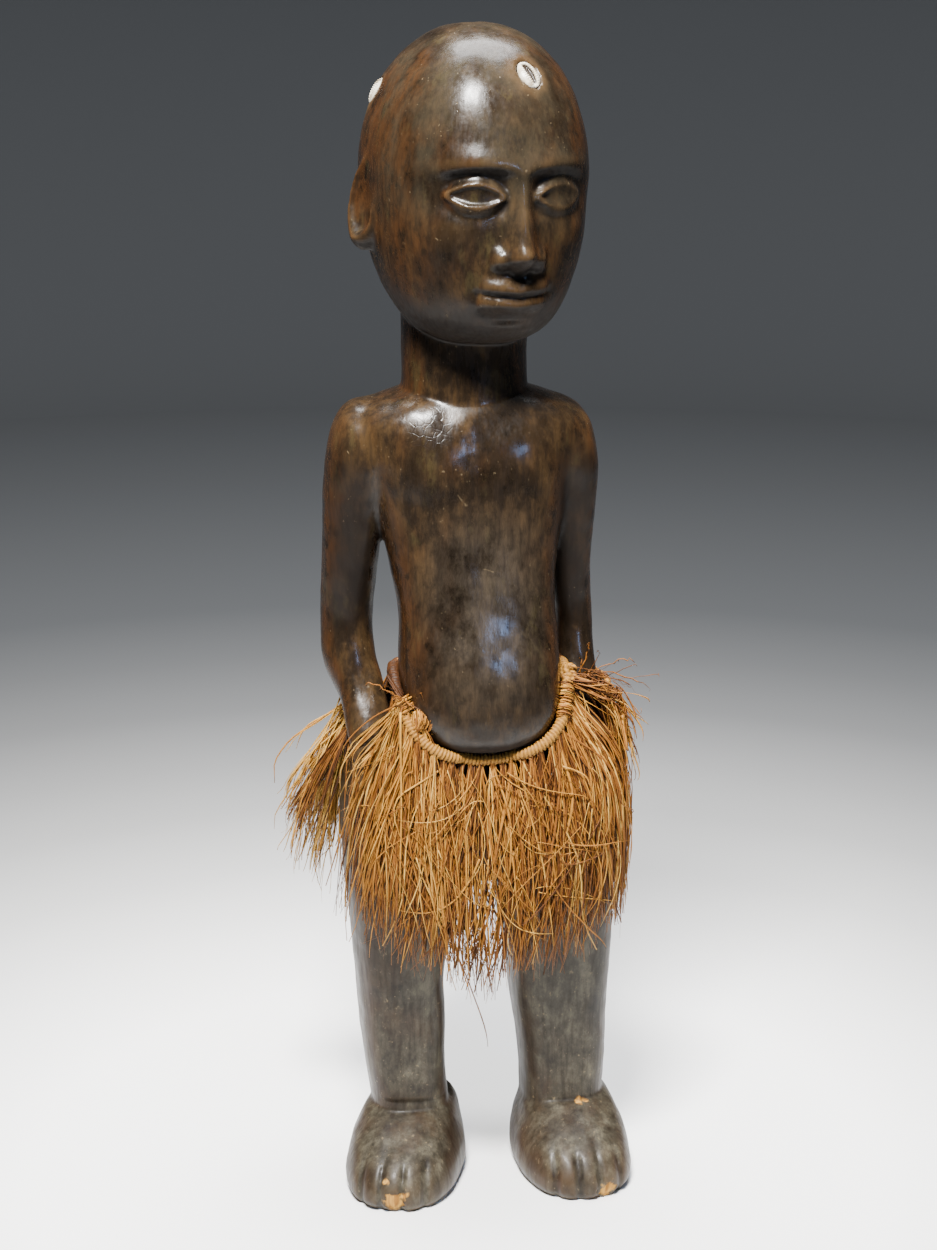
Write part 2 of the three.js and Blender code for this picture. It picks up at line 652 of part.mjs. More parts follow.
function fringe(figureGrown, cord) {
  const steps = FRINGE.locks * 2;
  const sections = count(steps + 1, (i) =>
    fringeSection(radians(mix(FRINGE.from, FRINGE.to, i / steps)), i),
  );
  return largest(solid(skin(sections)).subtract(figureGrown).subtract(cord));
}

// A solid as a mesh of its own material under a name.
function mesh(name, shape, finish) {
  const { vertProperties, triVerts } = shape.getMesh();
  const geometry = new THREE.BufferGeometry();
  geometry.setAttribute("position", new THREE.BufferAttribute(vertProperties, 3));
  geometry.setIndex(new THREE.BufferAttribute(triVerts, 1));
  geometry.computeVertexNormals();
  const part = new THREE.Mesh(geometry, finish);
  part.name = name;
  return part;
}

const material = (color, roughness) =>
  new THREE.MeshStandardMaterial({ color, roughness, metalness: 0 });
const wood = material(0x3a2417, 0.3);
const shell = material(0xe6dfcf, 0.35);
const whipping = material(0xb98345, 0.8);
const raffia = material(0xb0743a, 0.85);

const grownBody = body(GAP);
const cord = largest(waistCord().subtract(grownBody));
const model = new THREE.Group();
model.add(
  mesh("figure", figure(), wood),
  mesh("cowrie_front", cowrie(FRONT_COWRIE), shell),
  mesh("cowrie_side", cowrie(SIDE_COWRIE), shell),
  mesh("waist_cord", cord, whipping),
  mesh("raffia_skirt", fringe(grownBody, cord), raffia),
);
model.position.set(-BASE_MIDDLE.x, -BASE_MIDDLE.y, 0);

export default model;
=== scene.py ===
"""A carved wooden figure in a raffia skirt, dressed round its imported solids.

Sizes are millimetres round the figure's own plumb line, +Z up, and it looks along -Y. Every shape
is a surface of two parameters or a section carried along a path, worked out with numpy.
"""

import bpy
import numpy as np
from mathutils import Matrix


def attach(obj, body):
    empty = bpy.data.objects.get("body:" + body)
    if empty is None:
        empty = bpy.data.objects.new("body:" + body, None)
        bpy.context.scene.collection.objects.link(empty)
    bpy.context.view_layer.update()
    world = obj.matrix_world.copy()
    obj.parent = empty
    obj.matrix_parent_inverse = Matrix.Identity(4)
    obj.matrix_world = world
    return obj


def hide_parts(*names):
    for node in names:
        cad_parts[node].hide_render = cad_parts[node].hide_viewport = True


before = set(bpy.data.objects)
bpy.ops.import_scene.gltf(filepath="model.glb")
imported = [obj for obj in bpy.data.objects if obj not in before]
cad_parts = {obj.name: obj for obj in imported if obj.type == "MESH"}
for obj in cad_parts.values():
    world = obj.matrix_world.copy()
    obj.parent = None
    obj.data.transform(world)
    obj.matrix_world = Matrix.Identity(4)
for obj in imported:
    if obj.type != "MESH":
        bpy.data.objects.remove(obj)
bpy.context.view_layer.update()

bl_info = {
    "name": "Carved figure with a raffia skirt",
    "version": (1, 0, 0),
    "blender": (4, 5, 0),
    "location": "View3D > Sidebar > Figure",
    "description": "Builds a lacquered wooden figure, its shells, whipped cord and raffia skirt",
    "category": "Object",
}

MM = 0.001
PLUMB = np.array([10.0, 6.4, 0.0])  # the figure's plumb line, from the middle of the base
TURN = 2 * np.pi

# Sizes shared with the solids

# Each level of a body form: its height, then left, right, front and back of its outline.
TORSO = [
    (214, -8, 26, -24, 34), (238, -48, 60, -38, 46), (275, -62, 74, -46, 52), (300, -56, 66, -49, 46),
    (318, -50, 58, -50, 38), (334, -49, 57, -56, 31), (352, -49, 57, -68, 26), (374, -49, 56, -68, 23),
    (408, -49, 54, -57, 23), (447, -56, 57, -50, 30), (480, -63, 63, -49, 37), (500, -68, 67, -49, 40),
    (515, -74, 71, -47, 40), (526, -78, 74, -44, 39), (534, -77, 71, -41, 38), (540, -70, 63, -38, 37),
    (545, -58, 51, -35, 37), (549, -44, 38, -32, 36),
]
BELLY = [
    (317, -10, 18, -54, -16), (320, -25, 33, -60, -14), (326, -36, 44, -65, -12), (334, -42, 50, -67.2, -10),
    (344, -45, 53, -68.8, -10), (356, -45, 53, -69, -10), (370, -42, 50, -67.4, -10),
    (388, -36, 44, -62, -10),
]
YOKE = [
    (505, -74, 67, -22, 28), (525, -82, 75, -25, 31), (536, -80.5, 72, -24, 30), (541, -76, 64, -19, 26),
    (544, -66, 54, -12, 20),
]
NECK = [(532, -45, 40, -37, 35), (552, -43, 38, -35, 42), (580, -43, 38, -35, 42), (618, -42, 46, -40, 50)]
RIGHT_LEG = [
    (34, -65, -14, -27, 31), (71, -71, -17, -29, 32), (117, -76, -18, -31, 35), (147, -78, -18, -34, 38),
    (180, -81, -12, -38, 43), (215, -84, -6, -42, 47), (255, -86, 0, -45, 49), (288, -84, 2, -45, 46),
    (308, -76, 0, -38, 40), (320, -60, -6, -26, 30),
]
LEFT_LEG = [
    (34, 37, 93, -28, 30), (71, 36, 94, -29, 32), (117, 30, 96, -31, 35), (147, 27, 97, -34, 38),
    (180, 21, 98, -38, 43), (215, 16, 98, -42, 47), (255, 10, 98, -45, 49), (288, 8, 92, -45, 45),
    (308, 10, 82, -38, 38), (320, 16, 68, -26, 30),
]
# A foot's levels have a sixth size, how deep the toes are parted.
FOOT = [
    (0, -37, 36, -80, 32, 3), (7, -40, 39, -84, 35, 4), (17, -40, 39, -82, 36, 4.5),
    (28, -38, 37, -72, 35, 4), (37, -34, 34, -58, 34, 2.5), (44, -31, 31, -45, 33, 0.6),
    (49, -27, 27, -34, 31, 0),
]
RIGHT_FOOT, LEFT_FOOT = (-39, 2, -18), (67, 1, 3)  # place across and back, and turn in degrees
TOES = 5
# Places down the middle of an arm: across, back, up, half width and half depth.
RIGHT_ARM = [
    (-62, 3, 536, 4, 8), (-67, 3, 531, 16, 23), (-71, 3, 514, 20, 31), (-73.5, 7, 485, 20.5, 28),
    (-77, 14, 432, 18.5, 22), (-79, 18, 394, 17.5, 19), (-78, 13, 367, 17, 18), (-72, 0, 346, 15.5, 15),
    (-69, -16, 327, 15, 12), (-67, -30, 308, 14, 9), (-66, -38, 284, 11, 7),
]
LEFT_ARM = [
    (56, 3, 532, 4, 8), (61, 3, 527, 16, 23), (65, 3, 508, 18.5, 31), (66.5, 7, 485, 19.5, 28),
    (68, 14, 432, 16, 22), (71.5, 18, 394, 14, 19), (73, 13, 367, 13.5, 18), (73, 0, 346, 14, 15),
    (75, -16, 327, 14, 12), (75, -30, 308, 14, 9), (74, -38, 284, 11, 7),
]
SQUARE = {"trunk": 2.4, "neck": 2.2, "leg": 2.8, "foot": 2.35, "arm": 2.3, "head": 2.25, "hem": 2.9}

HEAD_PLACE, HEAD_TURN, HEAD_ROLL = (3, -2, 690), 13, 2.5
HEAD_SIDE, HEAD_FRONT, HEAD_BACK, HEAD_ABOVE, HEAD_BELOW = 69, 79, 82, 90, 106
CLOSING = (0.92, 0.9, 0.95), (0.6, 0.4, 1.15)  # of the sides, front and back, above and below
CROWN = 779.6  # the highest place
# The face by thirds, from the hairline to the brows, the nose's base and the chin, five eyes wide.
FACE_THIRD = (HEAD_ABOVE + HEAD_BELOW) / 3.5
EYE_LEVEL = (HEAD_ABOVE - HEAD_BELOW) / 2
EYE_WIDTH = 2 * HEAD_SIDE / 5
NOSE_BASE = FACE_THIRD - HEAD_BELOW
BROW_LEVEL = NOSE_BASE + FACE_THIRD
MOUTH_LEVEL = NOSE_BASE - FACE_THIRD / 3
MOUTH_HALF, NOSE_HALF = EYE_WIDTH * 0.78, EYE_WIDTH * 0.6

COWRIE = (19, 13.5, 7)  # length, width and height
COWRIE_SUNK = 1.5
FRONT_COWRIE, SIDE_COWRIE = (0.71, -80, 103), (0.5, 158, 70)  # share of the head, angle and turn

WAIST = np.array([4.0, -15.0])  # what angles round the waist are measured from
CORD_RADIUS, CORD_GAP = 3.2, 0.4
CORD_LEVEL = (312.5, 364, 352)  # front, side and back
KNOT_ANGLE = 77  # from the front, towards the left side
HEM = (-92, 105, -70, 69)
HEM_LEVEL, FALL = (167, 193, 187), (2, 3.4, 3.2)  # height, and how soon the skirt is out
OVER_ARM, WING = (94, 34, 31), (244, 25, 35)  # angle, spread and reach
WING_LIFT = 50


# Numbers

def mix(a, b, share):
    return a + (b - a) * share


def smooth(low, high, value):
    """0 below low and 1 above high, with the cubic 3t^2 - 2t^3 between them."""
    t = np.clip((value - low) / (high - low), 0, 1)
    return t * t * (3 - 2 * t)


def bump(at, middle, half, square=2.0):
    """A hill of height 1: exp(-|(at - middle) / half| ^ square)."""
    return np.exp(-np.abs((at - middle) / half) ** square)


def unit(vectors):
    return vectors / np.maximum(np.linalg.norm(vectors, axis=-1, keepdims=True), 1e-9)


def waves(points, seed, length, count=18):
    """A soft unevenness from -1 to 1: the mean of sine waves of about one length in seeded directions."""
    rng = np.random.default_rng(seed)
    way = unit(rng.normal(size=(count, 3))) * (TURN / (length * rng.uniform(0.7, 1.4, (count, 1))))
    return np.sin(points @ way.T + rng.uniform(0, TURN, count)).sum(-1) / np.sqrt(count)


def points_at(x, y, z):
    return np.stack(np.broadcast_arrays(x, y, z), -1)


def all_round(count):
    """Angles of a whole turn, as a row."""
    return np.linspace(0, TURN, count, endpoint=False)[None, :]


def along_levels(table, at):
    """The sizes of a table at places along its first column: a cubic through the rows, whose slope at
    each row is that of the line between its neighbours."""
    rows = np.asarray(table, float)
    key = rows[:, 0]
    last = len(rows) - 1
    before, after = np.maximum(np.arange(last + 1) - 1, 0), np.minimum(np.arange(last + 1) + 1, last)
    slope = (rows[after] - rows[before]) / (key[after] - key[before])[:, None]
    i = np.clip(np.searchsorted(key, at, side="right") - 1, 0, last - 1)
    span = (key[i + 1] - key[i])[..., None]
    t = np.clip((np.asarray(at, float) - key[i])[..., None] / span, 0, 1)
    bend = slope[i] * t * (1 - t) ** 2 - slope[i + 1] * t * t * (1 - t)
    return mix(rows[i], rows[i + 1], 3 * t * t - 2 * t**3) + span * bend


def outline_at(table, z):
    """The middle and half sizes of a body form's outline at heights z."""
    left, right, front, back = np.moveaxis(along_levels(table, z)[..., 1:5], -1, 0)
    return (left + right) / 2, (front + back) / 2, (right - left) / 2, (back - front) / 2


def rounded(angle, half_x, half_y, square):
    """A superellipse: each half size times the sign and the 2/square power of the cosine or sine."""
    c, s = np.cos(angle), np.sin(angle)
    power = 2 / square
    return half_x * np.sign(c) * np.abs(c) ** power, half_y * np.sign(s) * np.abs(s) ** power


def turned(points, axis, degrees):
    """Points turned round X, Y or Z by the rotation matrix of that axis."""
    a = np.radians(degrees)
    c, s = np.cos(a), np.sin(a)
    i, j = {"X": (1, 2), "Y": (2, 0), "Z": (0, 1)}[axis]
    out = np.array(points, float)
    out[..., i] = points[..., i] * c - points[..., j] * s
    out[..., j] = points[..., i] * s + points[..., j] * c
    return out


# Meshes

def closed_rings(rings, loop=False):
    """Points and triangles of rings that run up a form anticlockwise: two triangles a cell, and a fan
    to the mean point of each end ring, or the last ring joined to the first."""
    rows, around = rings.shape[:2]
    points = rings.reshape(-1, 3)
    low = np.arange(rows if loop else rows - 1)[:, None] * around
    high = (low + around) % (rows * around)
    i = np.arange(around)
    j = (i + 1) % around
    a, b, c, d = low + i, low + j, high + j, high + i
    faces = [np.stack([a, b, c], -1).reshape(-1, 3), np.stack([a, c, d], -1).reshape(-1, 3)]
    if not loop:
        poles = np.stack([rings[0].mean(0), rings[-1].mean(0)])
        bottom, top = rows * around, rows * around + 1
        last = (rows - 1) * around
        for pole, first, second in [(bottom, j, i), (top, last + i, last + j)]:
            faces.append(np.stack([np.full(around, pole), first, second], -1))
        points = np.vstack([points, poles])
    return points, np.vstack(faces)


def gathered(shells):
    """Several shells of points and triangles as one."""
    starts = np.cumsum([0] + [len(points) for points, _ in shells[:-1]])
    return (
        np.vstack([points for points, _ in shells]),
        np.vstack([faces + start for (_, faces), start in zip(shells, starts)]),
    )


def add_object(name, points, faces, material, **point_values):
    """An object at the origin with this mesh in metres and a number at each point under each name."""
    mesh = bpy.data.meshes.new(name)
    mesh.vertices.add(len(points))
    put_points(mesh, points)
    mesh.loops.add(faces.size)
    mesh.loops.foreach_set("vertex_index", faces.astype(np.int32).ravel())
    mesh.polygons.add(len(faces))
    mesh.polygons.foreach_set("loop_start", np.arange(0, faces.size, 3, dtype=np.int32))
    mesh.polygons.foreach_set("use_smooth", np.ones(len(faces), bool))
    mesh.update(calc_edges=True)
    for key, values in point_values.items():
        put_values(mesh, key, values)
    mesh.materials.append(material)
    made = bpy.data.objects.new(name, mesh)
    bpy.context.scene.collection.objects.link(made)
    return made


def put_points(mesh, points):
    mesh.vertices.foreach_set("co", ((points + PLUMB) * MM).astype(np.float32).ravel())
    mesh.update()


def put_values(mesh, key, values):
    layer = mesh.attributes.new(key, "FLOAT", "POINT")
    layer.data.foreach_set("value", np.asarray(values, np.float32).ravel())


def with_modifier(made, kind, **settings):
    """The object's mesh replaced by what one modifier makes of it."""
    modifier = made.modifiers.new(kind.title(), kind)
    for key, value in settings.items():
        setattr(modifier, key, value)
    view = bpy.context.evaluated_depsgraph_get()
    shaped = bpy.data.meshes.new_from_object(made.evaluated_get(view))
    made.modifiers.clear()
    old = made.data
    made.data = shaped
    bpy.data.meshes.remove(old)
    return shaped


def read(items, key, columns=3, kind=np.float32):
    values = np.empty(len(items) * columns, kind)
    items.foreach_get(key, values)
    return values.reshape(-1, columns)


def mesh_points(mesh):
    return read(mesh.vertices, "co").astype(float) / MM - PLUMB


def mesh_normals(mesh):
    return read(mesh.vertex_normals, "vector").astype(float)


def mesh_edges(mesh):
    return read(mesh.edges, "vertices", 2, np.int32)


def neighbour_mean(values, edges):
    """At each point, the mean of the values at the points it shares an edge with."""
    a, b = edges.T
    size = len(values)
    columns = values.reshape(size, -1)
    total = np.stack(
        [np.bincount(a, column[b], size) + np.bincount(b, column[a], size) for column in columns.T], -1
    )
    mean = total / np.maximum(np.bincount(edges.ravel(), minlength=size), 1)[:, None]
    return mean.reshape(values.shape)


def relaxed(points, edges, weight, rounds):
    """Points moved by a weight towards the mean of their neighbours, round after round."""
    for _ in range(rounds):
        points = points + weight[:, None] * (neighbour_mean(points, edges) - points)
    return points


# The carved figure

def body_form(table, square, around=150, step=2.5):
    """Rounded outlines stacked up through the levels of a table."""
    low, high = table[0][0], table[-1][0]
    z = np.linspace(low, high, int((high - low) / step) + 2)[:, None]
    x, y, half_x, half_y = outline_at(table, z)
    across, deep = rounded(all_round(around), half_x, half_y, square)
    return points_at(x + across, y + deep, z)


def arm_frame(places, t):
    """Middle, width way, depth way and half sizes of an arm at shares t of its length."""
    table = [(i, *place) for i, place in enumerate(places)]
    at = t * (len(places) - 1)
    sizes = along_levels(table, at)[..., 1:]
    ahead = along_levels(table, at + 0.02)[..., 1:4] - along_levels(table, at - 0.02)[..., 1:4]
    up = unit(-ahead)
    deep = unit(np.cross(up, np.array([1.0, 0, 0])))
    wide = np.cross(deep, up)
    return sizes[..., :3], wide, deep, sizes[..., 3], sizes[..., 4]


def arm_form(places, around=110, rows=190):
    """An oval carried up a curve through the places, with three grooves that part the fingers."""
    t = np.linspace(1, 0, rows)
    middle, wide, deep, half_w, half_d = arm_frame(places, t)
    angle = all_round(around)
    a, b = rounded(angle, half_w[:, None], half_d[:, None], SQUARE["arm"])
    share = a / half_w[:, None]
    parting = sum(bump(share, place, 0.1) for place in (-0.5, 0, 0.5))
    b = b + 1.8 * parting * smooth(0.86, 0.93, t)[:, None] * (np.sin(angle) < 0)
    return middle[:, None] + a[..., None] * wide[:, None] + b[..., None] * deep[:, None]


def foot_form(place):
    """Rounded outlines of a foot, its front edge notched between the toes and swelled over each."""
    x0, y0, turn = place
    z = np.linspace(0, FOOT[-1][0], 46)[:, None]
    x, y, half_x, half_y = outline_at(FOOT, z)
    groove = np.maximum(along_levels(FOOT, z)[..., 5], 0)
    angle = all_round(320)
    across, deep = rounded(angle, half_x, half_y, SQUARE["foot"])
    share = across / half_x
    toe = (share / 0.92 + 1) / 2 * TOES
    off = np.abs(toe - np.round(toe))
    parting = np.clip(1 - off / 0.15, 0, 1) ** 0.8 * (np.abs(share) < 0.7)
    swell = np.clip(np.cos((toe - 0.5 - np.round(toe - 0.5)) * np.pi), 0, 1) * (np.abs(share) < 0.9)
    front = np.sin(angle) < 0
    deep = deep + front * (0.62 * groove * parting * smooth(34, 24, z) - 0.3 * groove * swell)
    return turned(points_at(x + across, y + deep, z), "Z", turn) + np.array([x0, y0, 0])


def head_level(share):
    """Half sizes and middle of the head's outline at a share of its height: each half size times
    a power of sqrt(1 - share^2)."""
    level = np.sqrt(np.maximum(0, 1 - share * share))
    side, front, back = (np.where(share > 0, above, below) for above, below in zip(*CLOSING))
    fore, aft = HEAD_FRONT * level**front, HEAD_BACK * level**back
    z = share * np.where(share > 0, HEAD_ABOVE, HEAD_BELOW)
    return HEAD_SIDE * level**side, (fore + aft) / 2, (aft - fore) / 2, z


def head_point(share, angle):
    half_x, half_y, y, z = head_level(share)
    across, deep = rounded(angle, half_x, half_y, SQUARE["head"])
    return points_at(across, y + deep, z)


def eye_relief(x, z):
    """An eyeball in its socket behind an almond opening: a dome, with a ridge along the two bows that
    bound the opening and a fold over it."""
    u = (x - EYE_WIDTH) / (EYE_WIDTH / 2 + 2)
    lens = np.maximum(0, 1 - u * u)
    up = z - EYE_LEVEL
    socket = -6.5 * bump(x, EYE_WIDTH - 1, 21, 3) * bump(z, EYE_LEVEL + 2, 13, 3)
    ball = 6.6 * np.sqrt(np.maximum(0, 1 - (u / 1.15) ** 2 - (up / 12.5) ** 2))
    edge = np.where(up > 0, up - 6.2 * lens, -up - 5.2 * lens)
    rim = 2.0 * bump(edge, 1.2, 1.5, 2.5) - 0.8 * smooth(0.4, -0.6, edge)
    fold = -0.9 * bump(edge, 5.4, 1.2) * (up > 0)
    return socket + ball + (rim + fold) * smooth(1.28, 1.08, np.abs(u))


def nose_relief(x, z):
    """A ridge that grows and widens down to a round tip, with a wing at each side and a hollow under it."""
    down = np.clip((BROW_LEVEL - z) / (BROW_LEVEL - NOSE_BASE), 0, 1)
    tall = mix(3.5, 16, down**1.3) * smooth(NOSE_BASE - 8, NOSE_BASE + 8, z)
    wide = mix(7, 11, down**2)
    ridge = tall * bump(x, 0, wide, 2.3) * bump(z, NOSE_BASE + 20, 42, 6)
    tip = 3.2 * bump(x, 0, 7.5) * bump(z, NOSE_BASE + 8, 6.5)
    wing = 9 * bump(x, NOSE_HALF * 0.74, 5.4, 2.4) * bump(z, NOSE_BASE + 5, 6.6, 2.4)
    nostril = -2.4 * bump(x, 6, 2.6) * bump(z, NOSE_BASE - 1, 2.6)
    crease = -1.1 * bump(x, NOSE_HALF * 1.22, 2) * bump(z, NOSE_BASE + 6, 6)
    return np.hypot(ridge, 0.75 * wing) + tip + nostril + crease


def mouth_relief(x, z):
    """Two closed lips on a soft swell: each a rounded band along a bowed line, parted by a groove."""
    smile = np.sqrt(np.maximum(0, 1 - (x / MOUTH_HALF) ** 2))
    bow = 0.9 * bump(x, 6.5, 5) - 1.2 * bump(x, 0, 3)
    line = MOUTH_LEVEL - 0.4 * bump(x, 0, 5) + 0.003 * x * x
    swell = 5.5 * bump(x, 0, 31) * bump(z, MOUTH_LEVEL, 20)
    upper = 5.2 * smile * bump(z, line + 5 + bow * 0.5, 4.9 + bow * 0.6, 2.4)
    lower = 6.2 * smile * bump(z, line - 5.8, 5.6, 2.4)
    parting = -2.8 * bump(x, 0, MOUTH_HALF * 1.02, 8) * bump(z, line - 0.1, 1.3)
    corner = -1.4 * bump(x, MOUTH_HALF + 1, 2.6) * bump(z, MOUTH_LEVEL + 1.2, 3)
    philtrum = -0.9 * bump(x, 0, 2.2) * bump(z, MOUTH_LEVEL + 12.5, 4)
    under = -1.2 * bump(x, 0, 15) * bump(z, MOUTH_LEVEL - 14.5, 3.4)
    return swell + upper + lower + parting + corner + philtrum + under


def face_relief(across, z):
    """How far the carving of the face stands off the bare head: sockets and eyes, brows on a bowed
    line, nose, mouth, cheeks and chin, each a hill or hollow across and up."""
    x = np.abs(across)
    brow_line = BROW_LEVEL + 5.5 - 0.0075 * (x - 21) ** 2
    brow = 3.6 * bump(z, brow_line, np.where(z < brow_line, 5.2, 9.5)) * bump(x, 25, 26, 3)
    cheek = 3 * bump(x, 40, 15) * bump(z, NOSE_BASE + 16, 17)
    chin = 4 * bump(x, 0, 19) * bump(z, 13 - HEAD_BELOW, 10)
    return eye_relief(x, z) + brow + nose_relief(x, z) + mouth_relief(x, z) + cheek + chin


def head_form(rows=330, around=560):
    """Rounded outlines up the head, moved out along their own normals by the carving of the face."""
    share = np.sin(np.linspace(-0.5, 0.5, rows) * np.pi * 0.995)[:, None]
    half_x, half_y, y, _ = head_level(share)
    bare = head_point(share, all_round(around))
    x, deep, z = bare[..., 0], bare[..., 1] - y, bare[..., 2]
    power = SQUARE["head"] - 1
    ways = [np.sign(v) * np.abs(v / half) ** power / half for v, half in [(x, half_x), (deep, half_y)]]
    out = unit(points_at(*ways, 0))
    relief = face_relief(x, z) * smooth(2, -3, deep)
    return bare + out * relief[..., None]


def ear_form(side):
    """A flat ellipsoid whose outer half is hollowed by a bowl, with a curved fold and a small flap."""
    half_x, half_y, half_z = 13, 16, FACE_THIRD * 0.55
    lat = np.linspace(-0.5, 0.5, 90)[:, None] * np.pi
    lon = all_round(130)
    x = half_x * np.cos(lat) * np.cos(lon)
    y = half_y * np.cos(lat) * np.sin(lon)
    z = np.broadcast_to(half_z * np.sin(lat), x.shape)
    ring = np.hypot((y + 0.8) / (half_y * 0.78), (z - 2) / (half_z * 0.76))
    fold = 3.6 * bump(ring, 0.56, 0.14) * smooth(-3, 4, y + 0.1 * z)
    flap = 4.5 * bump(y, -9.5, 3.2) * bump(z, -4, 5)
    lobe = 2.5 * bump(y, -1, 6) * bump(z, -half_z * 0.74, 4.5)
    carved = (-9.5 * smooth(1.06, 0.72, ring) + fold + flap + lobe) * smooth(0, 3, x * side)
    local = turned(turned(points_at(x + side * carved, y, z), "Y", -6 * side), "Z", -14 * side)
    return local + np.array([side * 66, 9, NOSE_BASE + FACE_THIRD / 2])


def on_head(points):
    return turned(turned(points, "Y", HEAD_ROLL), "Z", HEAD_TURN) + np.array(HEAD_PLACE, float)


def shell_axes(cowrie):
    """The middle of a shell and its three ways: along it, across it and out of the head."""
    share, angle, turn = np.array(cowrie[0]), np.radians(cowrie[1]), np.radians(cowrie[2])
    at = head_point(share, angle)
    side = unit(head_point(share, angle + 0.01) - at)
    up = head_point(share + 0.01, angle) - at
    out = unit(np.cross(side, up))
    other = np.cross(out, side)
    along = side * np.cos(turn) + other * np.sin(turn)
    beside = other * np.cos(turn) - side * np.sin(turn)
    middle = on_head(at - out * COWRIE_SUNK)
    origin = np.array(HEAD_PLACE, float)
    return middle, *(on_head(way) - origin for way in (along, beside, out))


def carved_shells():
    """Every closed form that the figure is carved from."""
    trunk, neck, leg = (SQUARE[kind] for kind in ("trunk", "neck", "leg"))
    forms = [body_form(TORSO, trunk, 190), body_form(BELLY, trunk), body_form(YOKE, trunk)]
    forms += [body_form(NECK, neck), body_form(RIGHT_LEG, leg), body_form(LEFT_LEG, leg)]
    forms += [arm_form(RIGHT_ARM), arm_form(LEFT_ARM), foot_form(RIGHT_FOOT), foot_form(LEFT_FOOT)]
    forms += [on_head(form) for form in (head_form(), ear_form(-1), ear_form(1))]
    return gathered([closed_rings(form) for form in forms])


# Marks on the wood: middle across, back and up, how far they spread, and how deep they cut.
CHIPS = [
    (-63, -80, 9, 7.5, 1.2), (-54, -77, 12, 3.6, 0.7), (-68, -72, 21, 2.4, 0.5),
    (84, -82, 6, 7.5, 1.4), (72, -31, 50, 3.6, 0.5), (77, -30, 49, 2.6, 0.5), (67, -31, 51, 2, 0.4),
]


def blend_weight(points):
    """Where the forms flow into each other: the shoulders, the chest's sides, the hips, the seat, the
    nape and the belly's lower edge."""
    x, y, z = points.T
    side = np.abs(x + 1)
    shoulder = bump(z, 506, 19, 4) + 0.35 * smooth(524, 532, z)
    shoulder = smooth(36, 48, side) * smooth(86, 76, side) * shoulder
    chest = 0.8 * bump(side, 56, 12, 3) * bump(z, 490, 34, 4)
    hips = bump(z, 305, 24, 4) * smooth(2, 20, y)
    seat = bump(z, 236, 26, 4)
    nape = 0.8 * bump(z, 543, 14, 4) * smooth(24, 32, y) * smooth(56, 48, side)
    belly = bump(z, 352, 22, 4) * smooth(-20, -50, y)
    return np.clip(shoulder + chest + hips + seat + belly + nape, 0, 1)


def carve_marks(points, normals):
    """How far each place is moved along its normal: uneven knife work, planes of the chest, the fold
    over the instep, and chips."""
    x, y, z = points.T
    face = smooth(565, 600, z) * smooth(-20, -50, y)
    knife = 0.36 * waves(points * [1, 1, 0.7], 3, 34) + 0.12 * waves(points * [1, 1, 0.8], 4, 13)
    move = knife * mix(1, 0.3, face) * smooth(2, 8, z)
    front = smooth(-0.2, -0.7, normals[:, 1])
    pads = sum(bump(x, place, 18, 2.5) for place in (-30, 28)) * bump(z, 510, 20, 3)
    cleft = bump(x, -1, 7) * smooth(400, 470, z) * smooth(545, 525, z)
    move += front * (2.4 * pads - 1.6 * cleft)
    instep = bump(z, 55 + 0.04 * (y + 30), 2.4) * smooth(-15, -25, y)
    move -= 0.9 * instep * (x < 0)
    for *middle, spread, cut in CHIPS:
        move -= cut * smooth(1, 0.75, chip_distance(points, middle, spread))
    return move


def chip_distance(points, middle, spread):
    """Distance from a chip's middle over its spread, made ragged by waves."""
    off = np.linalg.norm(points - np.array(middle), axis=-1) / spread
    return off + 0.22 * waves(points, 9, 5)


def press_shell(points, cowrie):
    """Places inside a shell's egg moved down its outward way to the far side of the egg."""
    middle, along, beside, out = shell_axes(cowrie)
    off = points - middle
    a, b, c = (size / 2 + 0.5 for size in COWRIE)
    flat = 1 - (off @ along / a) ** 2 - (off @ beside / b) ** 2
    height = off @ out
    floor = -c * np.sqrt(np.maximum(flat, 0))
    inside = (flat > 0) & (height > floor) & (height < c + 3)
    return points + np.where(inside, floor - height, 0)[:, None] * out


